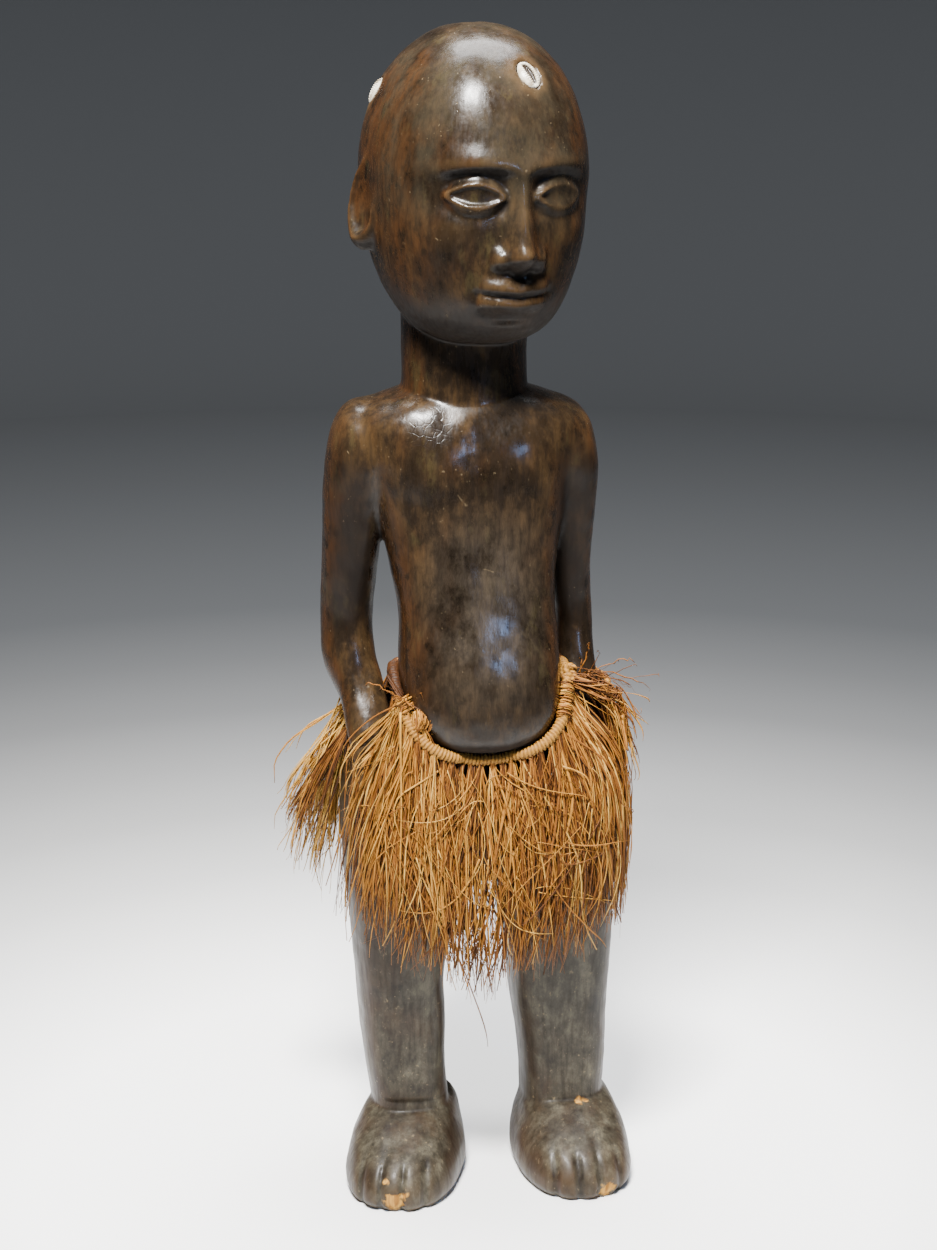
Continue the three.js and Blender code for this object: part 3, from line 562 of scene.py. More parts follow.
def wood_values(points, normals, edges):
    """What the wood's material reads: painted side light in amber on surfaces that face sideways, dull legs,
    bare chips, painted shade in hollows and wear on ridges by how far the neighbours' mean stands out of the
    surface or lies in it, painted shade on the undersides and the fronts of the arms, the crown's grey tone
    with painted sheen, and a dusty film with painted sheen on the belly."""
    x, _, z = points.T
    # Surfaces that face sideways, made ragged by waves: painted side light in amber.
    sideways = smooth(0.45, 0.9, np.abs(normals[:, 0])) * smooth(0.75, 0.1, normals[:, 1])
    ragged = waves(points, 5, 60) * 0.25 + waves(points * [1, 1, 0.35], 6, 14) * 0.2
    chips = [smooth(0.98, 0.8, chip_distance(points, middle, spread)) for *middle, spread, _ in CHIPS]
    # The fronts of the upper arms: painted shade, with the coat taken off there.
    patch = bump(np.abs(x + 7), 73, 12, 4) * bump(z, 452, 58, 6) * smooth(-0.15, -0.6, normals[:, 1])
    curl = ((neighbour_mean(points, edges) - points) * normals).sum(-1)
    for _ in range(5):
        curl = mix(curl, neighbour_mean(curl, edges), 0.7)
    return {
        "warm": np.clip(sideways + ragged - 0.1, 0, 1),
        "dull": smooth(330, 255, z),
        "chip": np.max(chips, axis=0),
        # Concave places: painted shade in the hollows.
        "hollow": smooth(0.02, 0.14, curl),
        "ridge": smooth(0.02, 0.12, -curl),
        # Downward-facing surfaces above the feet, and the arm fronts: painted shade, and duller lacquer.
        "under": np.maximum(smooth(-0.25, -0.6, normals[:, 2]) * smooth(60, 90, z), 0.85 * patch),
        # The top of the head: a grey-olive tone of its own, and painted sheen.
        "crown": smooth(640, 700, z),
        # The front of the belly: a dusty film and painted sheen.
        "haze": bump(x, 4, 36, 3) * bump(z, 412, 62, 4) * smooth(-0.3, -0.75, normals[:, 1]),
    }


# The shells

def cowrie_form(rows=90, around=120):
    """An egg whose upper side has a long slit with toothed lips: the slit sinks the surface, and a
    cosine along it raises the teeth."""
    lat = np.linspace(-0.5, 0.5, rows)[:, None] * np.pi
    lon = all_round(around)
    a, b, c = (size / 2 for size in COWRIE)
    x = np.broadcast_to(a * np.sin(lat), (rows, around))
    taper = 1 - 0.1 * x / a
    y = b * np.cos(lat) * np.cos(lon) * taper
    z = c * np.cos(lat) * np.sin(lon)
    up = smooth(0.2, 0.6, np.sin(lon))
    slit = bump(x, 0.2, a * 0.78, 5)
    half = mix(1.4, 2.6, bump(x, 1.5, 5))
    middle = 0.25 * np.sin(x / a * 2)
    lip = np.abs(y - middle)
    sink = -2.8 * smooth(half + 0.5, half - 0.15, lip) * slit * up
    teeth = 0.32 * np.cos(x * TURN / 1.45) * bump(lip, half + 0.8, 0.9) * slit * up
    rolled = 0.35 * bump(lip, half + 1.1, 0.8) * slit * up
    # The second value is how deep each place lies in the slit, and it darkens the slit as painted shade.
    return points_at(x, y, z + sink + teeth + rolled), np.clip(-sink / 2.2, 0, 1)


def shell_object(name, cowrie, material):
    local, depth = cowrie_form()
    middle, along, beside, out = shell_axes(cowrie)
    points, faces = closed_rings(middle + local @ np.stack([along, beside, out]))
    return add_object(name, points, faces, material, slit=np.concatenate([depth.ravel(), [0, 0]]))


# The cord

def reach_at(outline, angle, square):
    """How far an outline reaches from the middle of the waist: halving steps on |x|^n + |y|^n = 1."""
    x, y, half_x, half_y = outline
    near, far = np.zeros_like(angle + x), np.full_like(angle + x, 200.0)
    for _ in range(24):
        reach = (near + far) / 2
        across = np.abs((WAIST[0] + reach * np.sin(angle) - x) / half_x)
        deep = np.abs((WAIST[1] - reach * np.cos(angle) - y) / half_y)
        outside = across**square + deep**square > 1
        near, far = np.where(outside, near, reach), np.where(outside, reach, far)
    return near


def round_waist(sizes, angle, power):
    """A size that passes from the front to the side by a power of the sine, and to the back by its square."""
    front, side, back = sizes
    sideways = np.abs(np.sin(angle))
    return np.where(np.cos(angle) > 0, mix(front, side, sideways**power), mix(back, side, sideways**2))


def cord_line(angle):
    """Reach and height of the cord's middle: it lies on the widest of the outlines that it crosses."""
    z = round_waist(CORD_LEVEL, angle, 3.5)
    top = z + CORD_RADIUS
    low, high, belly = (
        reach_at(outline_at(table, level), angle, SQUARE["trunk"])
        for table, level in ((TORSO, z), (TORSO, top), (BELLY, top))
    )
    trunk = np.maximum(low, high)
    return np.maximum(trunk, np.where(top > BELLY[0][0], belly, 0)) + CORD_RADIUS + 2 * CORD_GAP, z


ROUND = np.radians(np.arange(-130, 321))  # a degree apart, a little more than once round
HEM_LINE = reach_at(outline_at([(0, *HEM), (1, *HEM)], 0), ROUND, SQUARE["hem"])
CORD_REACH, CORD_HEIGHT = cord_line(ROUND)


def waist_point(angle, reach, z):
    return points_at(WAIST[0] + reach * np.sin(angle), WAIST[1] - reach * np.cos(angle), z)


def knot_line():
    """The knot's middle line: a few turns of an uneven circle that rises and falls, on the cord."""
    angle = np.radians(KNOT_ANGLE)
    reach, z = cord_line(angle)
    t = np.linspace(0, 1, 120)
    wind = TURN * 2.4 * t
    size = 3.6 + 1.4 * np.sin(TURN * 1.2 * t)
    turns = points_at(size * np.cos(wind), size * np.sin(wind), 3.4 * np.sin(wind * 0.83 + 0.6))
    return waist_point(angle, reach + 1.8, z + 1.5) + turns


def swept(path, radius, loop=False):
    """A round section carried along a path. Its radius may change along it (rows) and round it."""
    ahead = unit(np.roll(path, -1, 0) - np.roll(path, 1, 0) if loop else np.gradient(path, axis=0))
    helper = np.where(np.abs(ahead[:, 2:]) > 0.9, [[1.0, 0, 0]], [[0, 0, 1.0]])
    beside = unit(np.cross(ahead, helper))
    over = np.cross(beside, ahead)
    angle = all_round(radius.shape[1])[..., None]
    ring = np.cos(angle) * over[:, None] + np.sin(angle) * beside[:, None]
    return closed_rings(path[:, None] + radius[..., None] * ring, loop)


def run_length(path):
    """How long a path is up to each of its places."""
    return np.concatenate([[0], np.cumsum(np.linalg.norm(np.diff(path, axis=0), axis=1))])


def even_steps(path, count, loop=False):
    """The same path with its places an even length apart, and its length."""
    closed = np.vstack([path, path[:1]]) if loop else path
    length = run_length(closed)
    at = np.linspace(0, length[-1], count, endpoint=not loop)
    return np.stack([np.interp(at, length, closed[:, k]) for k in range(3)], -1), length[-1]


def whipping(path, radius, pitch, depth, seed, loop=False, around=14, step=0.55):
    """A cord wrapped with fibre: its radius dips between the turns of a helix, and each turn stands a
    little differently. Also gives each place's tone and how far it lies between turns."""
    _, length = even_steps(path, 10, loop)
    turns = max(2, round(length / pitch))
    rows = int(length / step)
    even, _ = even_steps(path, rows, loop)
    share = np.arange(rows) / rows
    angle = np.linspace(0, 1, around, endpoint=False)[None, :]
    turn = share[:, None] * turns + angle
    rng = np.random.default_rng(seed)
    stand = rng.uniform(-0.3, 0.35, turns + 2)
    tone = rng.uniform(0, 1, turns + 2)
    which = np.floor(turn).astype(int) % turns
    ridge = np.abs(np.sin(np.pi * turn)) ** 0.6
    size = radius + depth * (ridge - 0.8) + stand[which] * ridge
    points, faces = swept(even, size, loop)
    ends = np.full(len(points) - size.size, 0.5)
    return points, faces, *(np.concatenate([values.ravel(), ends]) for values in (tone[which], 1 - ridge))


# The raffia

class Draws:
    """Random numbers for a count of strands, a row for each."""

    def __init__(self, rng, count):
        self.rng, self.count = rng, count

    def bell(self, spread=1.0, columns=1, middle=0.0):
        return self.rng.normal(middle, spread, (self.count, columns))

    def flat(self, low=0.0, high=1.0):
        return self.rng.uniform(low, high, (self.count, 1))

    def some(self, share):
        return self.flat() < share


def hill(angle, place):
    """A soft hill of height 1 round an angle."""
    return bump(np.degrees(angle), place[0], place[1])


def held_out(angle):
    """1 where the hanks hang from the second tie, outside the left arm."""
    degrees = np.degrees(angle)
    return smooth(74, 80, degrees) * smooth(134, 122, degrees)


def tie_line(angle):
    """Reach and height of what the hanks hang from: the cord, or the second tie outside the left arm."""
    reach, z = np.interp(angle, ROUND, CORD_REACH), np.interp(angle, ROUND, CORD_HEIGHT)
    out = held_out(angle)
    return reach + OVER_ARM[2] * hill(angle, OVER_ARM) * out, z - 13 * out


def skirt_guide(angle, t):
    """Reach and height of the skirt's outside at a share t of its fall: from the tie out to the hem by
    1 - (1 - t)^fall, pushed out over the left arm and thrown out behind the right one."""
    reach, z = tie_line(angle)
    thrown = hill(angle, WING)
    over = OVER_ARM[2] * hill(angle, OVER_ARM) * (1 - held_out(angle)) * smooth(0, 0.3, t) * (1 - t)
    low_reach = np.interp(angle, ROUND, HEM_LINE) + WING[2] * thrown
    low_z = round_waist(HEM_LEVEL, angle, 2) + WING_LIFT * thrown
    fall = mix(round_waist(FALL, angle, 2), 1.1, thrown)
    rest = 1 - np.maximum(1 - t, 0) ** fall
    return mix(reach + 2, low_reach, rest) + over, mix(z - 4.2, low_z, t)


def push_off_forms(points, gap):
    """Places inside a body form moved level to its outline: their offset is divided by the n-th root
    of |x|^n + |y|^n."""
    for table, form in [(TORSO, "trunk"), (BELLY, "trunk"), (RIGHT_LEG, "leg"), (LEFT_LEG, "leg")]:
        square = SQUARE[form]
        z = points[..., 2]
        x, y, half_x, half_y = outline_at(table, z)
        dx, dy = points[..., 0] - x, points[..., 1] - y
        level = np.abs(dx / (half_x + gap)) ** square + np.abs(dy / (half_y + gap)) ** square
        inside = (level < 1) & (z > table[0][0] - gap) & (z < table[-1][0] + gap)
        grow = np.where(inside, np.maximum(level, 0.05) ** (-1 / square), 1)
        points = np.stack([x + dx * grow, y + dy * grow, z], -1)
    return points


def push_off_arm(points, places, gap, steps=70):
    """Places inside an arm moved out of its oval at the nearest place along it."""
    middle, wide, deep, half_w, half_d = arm_frame(places, np.linspace(0, 1, steps))
    flat = points.reshape(-1, 3)
    near = np.abs(flat[:, 2] - 340) < 90
    some = flat[near]
    i = ((some[:, None] - middle[None]) ** 2).sum(-1).argmin(1)
    off = some - middle[i]
    a = (off * wide[i]).sum(-1) / (half_w[i] + gap)
    b = (off * deep[i]).sum(-1) / (half_d[i] + gap)
    square = SQUARE["arm"]
    level = np.abs(a) ** square + np.abs(b) ** square
    beyond = (i == steps - 1) & ((off * np.cross(wide[i], deep[i])).sum(-1) < -gap - 4)
    grow = np.where((level < 1) & ~beyond, np.maximum(level, 0.05) ** (-1 / square) - 1, 0)
    across, back = a * (half_w[i] + gap) * grow, b * (half_d[i] + gap) * grow
    out = flat.copy()
    out[near] = some + (across[:, None] * wide[i] + back[:, None] * deep[i])
    return out.reshape(points.shape)


def settled(paths, gap=1.0, limit=11.0):
    """Strands laid on the body: pushed off it, evened along their length and pushed off again. Those
    that would have to move too far are left out. Also gives which were kept."""
    start = paths
    for _ in range(3):
        paths = push_off_forms(paths, gap)
        for arm in (RIGHT_ARM, LEFT_ARM):
            paths = push_off_arm(paths, arm, gap)
        even = paths.copy()
        even[:, 1:-1] = paths[:, 1:-1] / 2 + (paths[:, :-2] + paths[:, 2:]) / 4
        paths = even
    paths = push_off_forms(paths, gap)
    kept = np.linalg.norm(paths - start, axis=-1).max(1) < limit
    return paths[kept], kept


def ribbons(paths, width, thick, spin, tone):
    """Thin folded strips along paths (strand, place, 3): a flat three-sided section whose width way is
    a level way turned round the strand, narrowing to the tip. Also gives tone and share of length."""
    strands, places = paths.shape[:2]
    share = np.linspace(0, 1, places)[None, :]
    ahead = unit(np.gradient(paths, axis=1))
    first = unit(np.cross(ahead, np.array([0.31, -0.9, 0.3])))
    second = np.cross(ahead, first)
    angle = spin[:, :1] + spin[:, 1:] * share
    side = np.cos(angle)[..., None] * first + np.sin(angle)[..., None] * second
    over = np.cross(ahead, side)
    taper = (1 - 0.55 * smooth(0.75, 1, share)) * np.ones((strands, 1))
    w = (width[:, None] * taper / 2)[..., None]
    h = (thick[:, None] * taper)[..., None]
    section = np.stack([paths - side * w, paths + side * w - over * h * 0.2, paths + over * h], 2)
    base = np.arange(strands)[:, None, None] * places * 3
    row = np.arange(places - 1)[None, :, None] * 3
    i = np.arange(3)[None, None, :]
    a, b = base + row + i, base + row + (i + 1) % 3
    root = base[:, 0, 0]
    tip = root + (places - 1) * 3
    cells = [(a, b, b + 3), (a, b + 3, a + 3), (root, root + 2, root + 1), (tip, tip + 1, tip + 2)]
    faces = np.vstack([np.stack(corners, -1).reshape(-1, 3) for corners in cells])
    run = np.tile(share[0], strands)
    return section.reshape(-1, 3), faces, np.repeat(tone, places * 3), np.repeat(run, 3)


def strand_sizes(rng, count, width):
    """Width, thickness and turn of each strand."""
    wide = width * rng.lognormal(0, 0.32, count)
    spin = np.stack([rng.uniform(0, TURN, count), rng.normal(0, 1.6, count)], -1)
    return np.clip(wide, 0.55, 2.6), wide * rng.uniform(0.16, 0.34, count), spin


def strand_bundles(rng, low, high, spacing, per_bundle):
    """Angles of bundles an even length apart along the tie, one for each strand, and the strand's own
    part of what its bundle does."""
    fine = np.radians(np.linspace(low, high, 800))
    length = run_length(waist_point(fine, *tie_line(fine)))
    bundles = max(2, int(length[-1] / spacing))
    places = (np.arange(bundles) + 0.5) / bundles * length[-1] + rng.normal(0, spacing * 0.1, bundles)
    which = np.repeat(np.arange(bundles), per_bundle)
    return np.interp(places, length, fine)[which], which, bundles


def fringe_paths(rng, low, high, spacing, per_bundle, places=13):
    """Strands of the fringe, and how pale each is: outer layers paler and inner ones darker as painted light
    and shade, whole bundles at random, and the wing paler as painted light. Each comes from under the tie,
    is pinched there, and falls along the skirt's guide surface with its own offset, slant, bow, kinks and
    length."""
    angle0, which, bundles = strand_bundles(rng, low, high, spacing, per_bundle)
    degrees = np.degrees(angle0)
    thin = 0.7 * smooth(-56, -70, degrees) * smooth(-90, -70, degrees) + 0.93 * bump(degrees, 75, 7, 4)
    keep = rng.uniform(size=len(angle0)) > thin
    angle0, which = angle0[keep][:, None], which[keep]
    degrees = np.degrees(angle0)
    t = np.linspace(0, 1, places)[None, :] ** 1.05
    own, shared = Draws(rng, len(angle0)), Draws(rng, bundles)

    def sway(size, fewest, most):
        """A sine along the strand of its own size, number of waves and start."""
        return own.bell(size) * np.sin(TURN * (t * own.flat(fewest, most) + own.flat()))

    lateral = own.bell()
    layer = own.flat(-1, 1)
    clump = shared.bell()[which]
    wild = own.some(0.14)
    lean = shared.bell(0.07)[which] + own.bell(0.075) + wild * own.bell(0.2)
    bow = own.bell(3.6) + wild * own.bell(6.5)
    length = own.bell(0.06, middle=0.885) + 0.14 * own.some(0.06) + 0.1 * smooth(64, 44, np.abs(degrees - 6))
    length = np.where(own.some(0.22), own.flat(0.5, 0.88), length)
    parted = bump(degrees, 4, 8, 4) * own.some(0.88)
    length = mix(length, np.minimum(length, own.flat(0.5, 0.8)), parted)
    fall = t * np.clip(length, 0.4, 1.1)
    kinks = own.bell(1.3, places) * smooth(0.08, 0.4, t)
    kinks[:, 1:] = kinks[:, 1:] * 0.6 + kinks[:, :-1] * 0.4
    loose = smooth(0.05, 0.4, t)
    wave = sway(2.0, 0.8, 1.6) * loose
    curl = own.bell(3.5) * smooth(0.78, 1, t)
    beside = lateral * mix(0.9, 3.7, smooth(0.02, 0.5, t)) + bow * 4 * t * (1 - t) + wave + curl + kinks
    beside = beside + lean * fall * 150 * smooth(0, 0.25, t)
    weave = sway(1.6, 0.7, 2.2) * loose
    depth = layer * mix(0.8, 3.6, np.sqrt(t)) - 1 + clump * t + weave + own.bell(0.3, places)
    depth = depth + wild * 3 * t * t * own.flat() - 3 * bump(degrees, 90, 40) * t
    reach, _ = skirt_guide(angle0, fall)
    angle = angle0 + beside / np.maximum(reach, 30)
    reach, z = skirt_guide(angle, fall)
    hanging = waist_point(angle, reach + depth, z)
    # Paler for lying further out and in the wing, darker for lying in: painted light and shade; and a random
    # tone for each bundle.
    pale = (0.2 * layer + 0.07 * clump + 0.14 * hill(angle0, WING))[:, 0]
    return np.concatenate([hitch_paths(rng, angle0, lateral), hanging[:, 1:]], 1), pale


def hitch_paths(rng, angle, lateral):
    """The tops of the strands: most come out from under the cord in a small bow that is pinched a little
    lower, and some pass over it first."""
    own = Draws(rng, len(angle))
    reach, z = tie_line(angle)
    radius = mix(CORD_RADIUS, 2.0, held_out(angle))
    over = own.some(0.16 + 0.5 * smooth(28, 42, np.abs(np.degrees(angle) - 4)))
    swing = np.radians(np.where(over, [[120, 60, 0, -45]], [[-120, -95, -60, -35]]))
    wide = np.array([[0.7, 0.9, 1.15, 1.0]]) * lateral
    away = radius + 0.4 + own.flat(0, 0.6)
    ring = waist_point(angle + wide / reach, reach + away * np.cos(swing), z + away * np.sin(swing))
    inner = reach + radius * 0.75 + own.flat(-0.5, 0.7)
    return np.concatenate([ring, waist_point(angle + lateral * 0.55 / reach, inner, z - radius - 3.4)], 1)


def bent(start, first, second, end, places):
    """Bezier curves: (1-t)^3 start + 3(1-t)^2 t first + 3(1-t) t^2 second + t^3 end."""
    t = np.linspace(0, 1, places)[None, :, None]
    start, first, second, end = (p[:, None] for p in (start, first, second, end))
    return (1 - t) ** 3 * start + 3 * (1 - t) ** 2 * t * first + 3 * (1 - t) * t * t * second + t**3 * end


def fan_paths(rng, count, root, apart, ends, rise, bulge, spread=(7, 3, 12), noise=1.0, places=14):
    """Strands that spring from one place and fan to ends picked between two corner places."""
    own = Draws(rng, count)
    share = own.flat() ** 0.9
    start = np.array(root) + own.bell(columns=3) * np.array(apart)
    end = mix(np.array(ends[0]), np.array(ends[1]), share) + own.bell(columns=3) * spread
    first = mix(start, end, own.flat(0.12, 0.36)) + np.array(bulge) * own.flat(0.5, 1.2)
    second = end + np.array([0, 0, 1.0]) * own.flat(0.2, 1) * rise + own.bell(0.6, 3) * spread
    paths = bent(start, first, second, end, places)
    loose = smooth(0, 0.4, np.linspace(0, 1, places))[None, :, None]
    return paths + rng.normal(0, noise, paths.shape) * loose


def stray_paths(rng, count, places=18):
    """Loose strands that lie on the fringe on a slant, each with its own bow."""
    own = Draws(rng, count)
    angle0 = np.radians(own.flat(-62, 66))
    t0 = own.flat(0.02, 0.65)
    slant = np.radians(6 + 52 * own.flat() ** 2) * rng.choice([-1, 1], (count, 1))
    length = own.flat(25, 80)
    s = np.linspace(0, 1, places)[None, :]
    arch = 4 * s * (1 - s)
    beside = np.sin(slant) * length * s + own.bell(7) * arch + own.bell(0.5, places) * s
    t = t0 + np.cos(slant) * length * s / 150 + own.bell(0.04) * arch
    angle = angle0 + beside / 75
    reach, z = skirt_guide(angle, np.clip(t, 0, 1.1))
    depth = own.flat(1.2, 3.8) + 3 * s * s * own.flat(-0.6, 1)
    return waist_point(angle, reach + depth, z)


def curl_paths(rng, middle, axis, radius, span, count, places=22):
    """Short lengths wound round an axis as a loose binding: circles that drift along it."""
    own = Draws(rng, count)
    axis = unit(np.array(axis, float))
    one = unit(np.cross(axis, [0.2, 1.0, 0.1]))
    two = np.cross(axis, one)
    s = np.linspace(0, 1, places)[None, :]
    angle = own.flat(0, TURN) + own.flat(0.6, 1.25) * TURN * s
    size = radius + own.bell(0.6) + own.bell(0.25, places)
    drift = own.flat(-0.5, 0.5) * span + own.bell(1.5) * s
    ring = np.cos(angle)[..., None] * one + np.sin(angle)[..., None] * two
    return np.array(middle) + size[..., None] * ring + drift[..., None] * axis


def strands_object(name, rng, groups, material):
    """One object from groups of paths, width, tone and spread of the tone. The tone is for each strand
    or for all."""
    made = []
    for paths, width, middle, spread in groups:
        paths = np.clip(paths, SKIRT_BOX[0], SKIRT_BOX[1])
        sizes = strand_sizes(rng, len(paths), width)
        tone = np.clip(rng.normal(middle, spread, len(paths)), 0, 1)
        made.append(ribbons(paths, *sizes, tone))
    points, faces = gathered([strands[:2] for strands in made])
    tone, run = (np.concatenate([strands[k] for strands in made]) for k in (2, 3))
    stands_for(add_object(name, points, faces, material, tone=tone, run=run), "raffia_skirt")


SKIRT_BOX = [-127, -108, -9e9], [121, 92, 9e9]
BOUND = (-48, -44, 350)  # where the hank at the right hip is bound
# The parts of the fringe: first and last angle.
FRINGES = [("fringe_front", -74, 30), ("fringe_left", 30, 138), ("fringe_back", 138, 260)]
# Fans: count, root and how far apart, the two ends, rise, bulge, spread of the ends, unevenness.
# Curls: middle, axis, radius, span and count. Strays: count.
LOOSE = {
    "over_hand": (
        fan_paths, 95, BOUND, (3, 2, 2),
        [(-84, -27, 290), (-64, -46, 226)], 26, (-4, -9, 5), (7, 4, 17),
    ),
    "low_tuft": (
        fan_paths, 110, (-40, -50, 343), (5, 2, 3),
        [(-84, -52, 222), (-14, -68, 196)], 40, (0, -9, 6), (8, 3, 16),
    ),
    "stalk": (
        fan_paths, 8, (-49, -43, 352), (1.2, 1, 1),
        [(-59.5, -31, 368), (-57, -34, 364)], 0, (0, 0, 0), (0.8, 0.8, 1.5), 0.12,
    ),
    "sprigs": (
        fan_paths, 9, BOUND, (3, 2, 2),
        [(-70, -48, 366), (-24, -58, 346)], 6, (0, -5, 5), (5, 3, 5), 0.4,
    ),
    "wing": (
        fan_paths, 190, (-70, 20, 334), (5, 4, 7),
        [(-118, 38, 246), (-90, 40, 222)], 24, (-8, 2, -2), (8, 8, 17), 1.6,
    ),
    "over_arm": (
        fan_paths, 60, (86, -27, 348), (5, 4, 2),
        [(108, -36, 326), (96, -38, 286)], 8, (6, -5, 5), (5, 4, 10),
    ),
    "twigs": (
        fan_paths, 14, (74, -24, 358), (9, 3, 5),
        [(112, -40, 348), (80, -30, 378)], 4, (4, -4, 6), (7, 4, 7), 0.5,
    ),
    "binding": (curl_paths, BOUND, (-0.45, 0.3, 0.85), 5.4, 9, 26),
    "tangle": (curl_paths, (-37, -53, 341), (0.9, 0.2, -0.3), 6.5, 14, 22),
    "hitches": (curl_paths, (57, -42.5, 346.5), (5.4, 17, 17.5), 5.0, 27, 46),
    "arm_tangle": (curl_paths, (84, -25, 348), (0.8, -0.1, -0.5), 5.5, 26, 30),
    "strays": (stray_paths, 130),
    "along_tie": (
        fan_paths, 30, (62, -30, 358), (2, 2, 2),
        [(90, -36, 350), (82, -38, 343)], 2, (2, -4, 0), (4, 2, 3), 0.6,
    ),
    "across": (
        fan_paths, 9, (66, -34, 350), (3, 2, 3),
        [(90, -40, 322), (70, -46, 312)], 6, (3, -5, 0), (5, 3, 8), 0.6,
    ),
    "wisps": (
        fan_paths, 26, (-2, -62, 215), (16, 2, 10),
        [(-16, -68, 152), (10, -69, 150)], 30, (0, -3, 0),
    ),
}
# Share of the strand's width, tone and spread of the tone: first of what is laid on the body.
LAID = [
    # The wing's high tone is painted light that lifts its strands out of their shadow.
    ("over_hand", 0.95, 0.76, 0.18), ("low_tuft", 0.95, 0.74, 0.18), ("wing", 0.8, 0.92, 0.16),
    ("over_arm", 0.85, 0.58, 0.2), ("strays", 0.6, 0.7, 0.2), ("wisps", 0.55, 0.45, 0.2),
    ("along_tie", 1, 0.42, 0.15), ("across", 0.7, 0.85, 0.1),
]
FREE = [
    ("stalk", 1.3, 0.12, 0.08), ("binding", 1, 0.65, 0.12), ("tangle", 0.9, 0.65, 0.15),
    ("arm_tangle", 0.9, 0.3, 0.15), ("hitches", 1, 0.55, 0.2), ("sprigs", 0.6, 0.35, 0.15),
    ("twigs", 0.65, 0.3, 0.15),
]


# Materials

class Sheet:
    """Nodes being laid out in a tree. A method that adds a node gives an output of it."""

    def __init__(self, tree):
        self.tree = tree

    def put(self, socket, value):
        if isinstance(value, bpy.types.NodeSocket):
            self.tree.links.new(value, socket)
        else:
            socket.default_value = value

    def node(self, kind, values, **settings):
        """The outputs of a node with its settings, and with numbers or links put on its inputs."""
        made = self.tree.nodes.new("ShaderNode" + kind)
        for key, value in settings.items():
            setattr(made, key, value)
        for key, value in values.items():
            self.put(made.inputs[key], value)
        return made.outputs

    def maths(self, operation, *values, clamp=False):
        return self.node("Math", dict(enumerate(values)), operation=operation, use_clamp=clamp)[0]

    def times(self, first, second, *plus, clamp=False):
        return self.maths("MULTIPLY_ADD" if plus else "MULTIPLY", first, second, *plus, clamp=clamp)

    def less(self, first, second, clamp=False):
        return self.maths("SUBTRACT", first, second, clamp=clamp)

    def most(self, first, second):
        return self.maths("MAXIMUM", first, second)

    def vectors(self, operation, *values, output=0):
        return self.node("VectorMath", dict(enumerate(values)), operation=operation)[output]

    def scaled(self, vector, scale):
        return self.node("VectorMath", {0: vector, "Scale": scale}, operation="SCALE")[0]

    def blended(self, share, first, second):
        """Two colours mixed by a share."""
        return self.node("Mix", {0: share, 6: first, 7: second}, data_type="RGBA")[2]

    def over(self, body, *layers):
        """Colours laid over a colour in turn, each by a share and a strength."""
        for share, strength, colour in layers:
            body = self.blended(self.times(share, strength), body, (*colour, 1))
        return body

    def ramp(self, value, *stops):
        """A number turned into a colour through stops of (place, colour)."""
        made = self.node("ValToRGB", {0: value})[0]
        line = made.node.color_ramp
        while len(line.elements) < len(stops):
            line.elements.new(0.5)
        for element, (place, colour) in zip(line.elements, stops):
            element.position = place
            element.color = (*colour, 1)
        return made

    def stepped(self, value, low, high):
        """0 below low and 1 above high, smooth between them."""
        return self.node("MapRange", {0: value, 1: low, 2: high}, interpolation_type="SMOOTHSTEP")[0]

    def noise(self, vector, scale, detail=3.0, roughness=0.55, stretch=None, output=0):
        if stretch is not None:
            vector = self.node("Mapping", {"Vector": vector, "Scale": stretch})[0]
        values = {"Vector": vector, "Scale": scale, "Detail": detail, "Roughness": roughness}
        return self.node("TexNoise", values)[output]

    def number(self, key):
        return self.node("Attribute", {}, attribute_name=key)["Fac"]

    def place(self):
        return self.node("TexCoord", {})["Object"]

    def group(self, group, **values):
        return self.node("Group", {key.title(): value for key, value in values.items()}, node_tree=group)


def new_group(name, outputs, **inputs):
    """A shader node group with named sockets, and the nodes at its two ends."""
    tree = bpy.data.node_groups.new(name, "ShaderNodeTree")
    for label, value in {"Place": (0, 0, 0), **inputs}.items():
        kind = "NodeSocketFloat" if isinstance(value, float) else "NodeSocketVector"
        tree.interface.new_socket(label, in_out="INPUT", socket_type=kind).default_value = value
    for label in outputs:
        tree.interface.new_socket(label, in_out="OUTPUT", socket_type="NodeSocketFloat")
    given, out = tree.nodes.new("NodeGroupInput").outputs, tree.nodes.new("NodeGroupOutput").inputs
    return tree, Sheet(tree), given, out


def fibre_group():
    """Fine streaks along one way, for wood grain and for plant fibre."""
    name = "fibre_streaks"
    if name in bpy.data.node_groups:
        return bpy.data.node_groups[name]
    tree, sheet, given, out = new_group(name, ["Streak", "Cloud"], Stretch=(1, 1, 0.1), Fineness=200.0)
    placed = sheet.node("Mapping", {"Vector": given["Place"], "Scale": given["Stretch"]})[0]
    broad = sheet.times(given["Fineness"], 0.14)
    sheet.put(out["Streak"], sheet.noise(placed, given["Fineness"], 4.0, 0.5))
    sheet.put(out["Cloud"], sheet.noise(placed, broad, 3.0, 0.5))
    return tree


